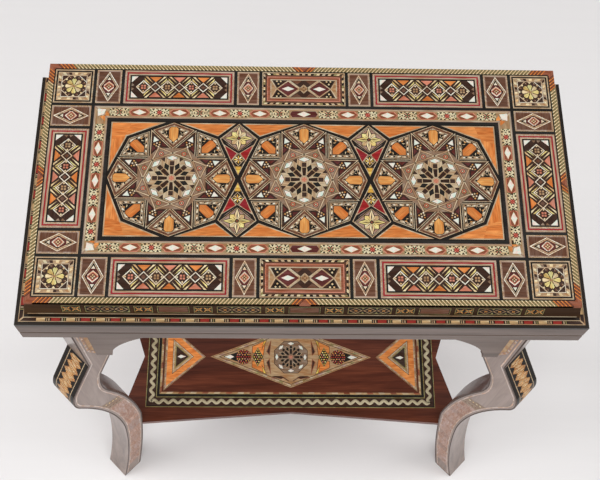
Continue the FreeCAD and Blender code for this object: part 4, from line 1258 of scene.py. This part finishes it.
for way in (-1, 1):
    medallion.lay("black", flip(way, 1, (99, 0), (74, 8.6), (74, -8.6)), 6)
    medallion.lay("pearl", flip(way, 1, (97, 0), (88.5, 3.0), (83, 0), (88.5, -3.0)), 7)
    disc = [polar(11.4, turn, way * DISC_X, 0) for turn in range(0, 360, 30)]
    medallion.nest(disc, 6.5, ("umber", 0), ("black", 0.8))
    for ring, count in ((0.0, 1), (3.6, 6), (7.0, 12), (9.6, 18)):
        for place in range(count):
            cx, cy = polar(ring, 360.0 * place / count, way * DISC_X, 0)
            wood = ("red", "amber", "salmon")[place % 3]
            medallion.lay(wood, diamond(cx, cy, 1.25, 1.25), 8)
    for end in (-1, 1):
        for leaf, level, *bands in MEDALLION_LEAVES:
            medallion.nest(flip(way, end, *leaf), level, *bands)
        medallion.line("brown", flip(way, end, (3.0, 36.0), (14.0, 29.0), (27.0, 29.6)), 1.6, 7)
    dotted = diamond(way * DOTTED_X, 0, 8.4, 15.0)
    medallion.nest(dotted, 8.4, ("olive", 0), ("black", 0.8))
    for row in range(-3, 4):
        for place in range(4 - abs(row)):
            cx = way * DOTTED_X + (place - (3 - abs(row)) / 2) * DOT_STEP_X
            wood = ("yellow", "salmon", "lemon")[(row + place) % 3]
            medallion.lay(wood, diamond(cx, row * DOT_STEP_Y, 1.2, 1.3), 10)
octagon = [polar(26.6, turn + POINT) for turn in range(0, 360, 45)]
medallion.nest(octagon, 7, ("umber", 0), ("taupe", 0.8))
for turn in range(0, 360, 45):
    arm = turn + POINT
    shell_drop(medallion, 20.6, turn, 6.0, 2.8, 8.5)
    medallion.lay("black", ray_bar(5.0, 16, 12.4, 8, turn), 9)
    medallion.lay("pale", ray_kite(8.0, 13.4, 18.2, 12.5, arm), 8.7)
    medallion.lay("black", ray_kite(9.0, 13.4, 17.2, 10, arm), 9)
    medallion.lay("black", ray_bar(13.6, 8, 17.2, 5, turn), 9)
medallion.petals(0, 0, 8, 3.6, 18, ("salmon",), 9.5)
medallion_mesh = medallion.mesh("medallion", SHELF_FLOOR, SHELF_TOP)
piece("shelf_medallion", [medallion_mesh], "stand", "shelf_inlay", "shelf_diamond")

# Shelf end triangles: an orange wood band between pale strings, round a dark
# walnut heart with a drop of shell.
BASE_X, TIP_X, BASE_Y = 183.5, 124.5, 51.0
triangle = Mosaic(121)
wedge = [(BASE_X, -BASE_Y), (BASE_X, BASE_Y), (TIP_X, 0)]
triangle.nest(
    wedge, 0, ("tan", 0), ("umber", 0.6), ("tan", 1.0), ("orange", 3.2), ("umber", 11.2),
    ("pale", 11.8), ("tan", 13.2), ("olive", 14.8), ("umber", 16.2),
)
triangle.beads(wedge, 1.0, 2.0, 5.0, ("pale", "tan", "blush"), 2.5)
triangle.lay("pearl", [(165.5, 0), (160.5, 2.6), (153.5, 0), (160.5, -2.6)], 9)
for side, turn in (("right", 0), ("left", 180)):
    mesh = repeat(triangle.mesh("end_triangle", SHELF_FLOOR, SHELF_TOP), first=turn)
    name = "shelf_triangle_" + side
    piece(name + "_marquetry", [mesh], "stand", "shelf_inlay", name)

# Stage: a seamless pale floor, three soft boxes and a camera at standing height
# that looks steeply down on the lid.
FLOOR = 40.0
PAPER = ((0.815, 0.80, 0.80), (0.82, 0.805, 0.805), (0.825, 0.81, 0.81))
floor_mesh = bpy.data.meshes.new("floor")
floor_corners = [(x, y, 0) for x, y in rect(0, 0, 2 * FLOOR, 2 * FLOOR)]
floor_mesh.from_pydata(floor_corners, [], [(0, 1, 2, 3)])
paper = surface("studio_paper", wood_look(*PAPER, "x", gloss=0.6), bump=0.0)
floor_mesh.materials.append(paper)
floor = bpy.data.objects.new("studio_floor", floor_mesh)
bpy.context.scene.collection.objects.link(floor)

world = bpy.data.worlds.new("studio")
world.use_nodes = True
room = world.node_tree.nodes["Background"].inputs
room["Color"].default_value = (1.0, 0.985, 0.98, 1.0)
room["Strength"].default_value = 0.47
bpy.context.scene.world = world
LAMPS = (
    ("key", (-1.7, 0.0, 2.5), (0.0, 0.0, 0.5), 35.0, 1.4),
    ("fill", (1.8, 0.1, 2.4), (0.0, 0.0, 0.5), 25.0, 1.4),
    ("floor", (0.0, -0.85, 0.55), (0.0, -0.5, 0.0), 5.0, 1.0),
)
for label, spot, aim, power, width in LAMPS:
    lamp = bpy.data.lights.new(label + "_soft_box", "AREA")
    lamp.energy = power
    lamp.size = width
    holder = bpy.data.objects.new(label + "_soft_box", lamp)
    holder.location = spot
    holder.rotation_euler = (Vector(aim) - Vector(spot)).to_track_quat("-Z", "Y").to_euler()
    bpy.context.scene.collection.objects.link(holder)

LENS, SENSOR = 59.06, 36.0
EYE = (-0.03121, -0.41435, 1.56937)
RIGHT = (0.99951561, -0.00367842, 0.03090326)
UP = (-0.00887854, 0.91802035, 0.39643386)
BEHIND = (-0.02982807, -0.39651621, 0.91754301)
view = bpy.data.cameras.new("view")
view.lens = LENS
view.sensor_width = SENSOR
view.sensor_fit = "HORIZONTAL"
camera = bpy.data.objects.new("view", view)
turned = Matrix((RIGHT, UP, BEHIND)).transposed().to_4x4()
camera.matrix_world = Matrix.Translation(EYE) @ turned
bpy.context.scene.collection.objects.link(camera)
bpy.context.scene.camera = camera
bpy.context.scene.view_settings.view_transform = "Standard"
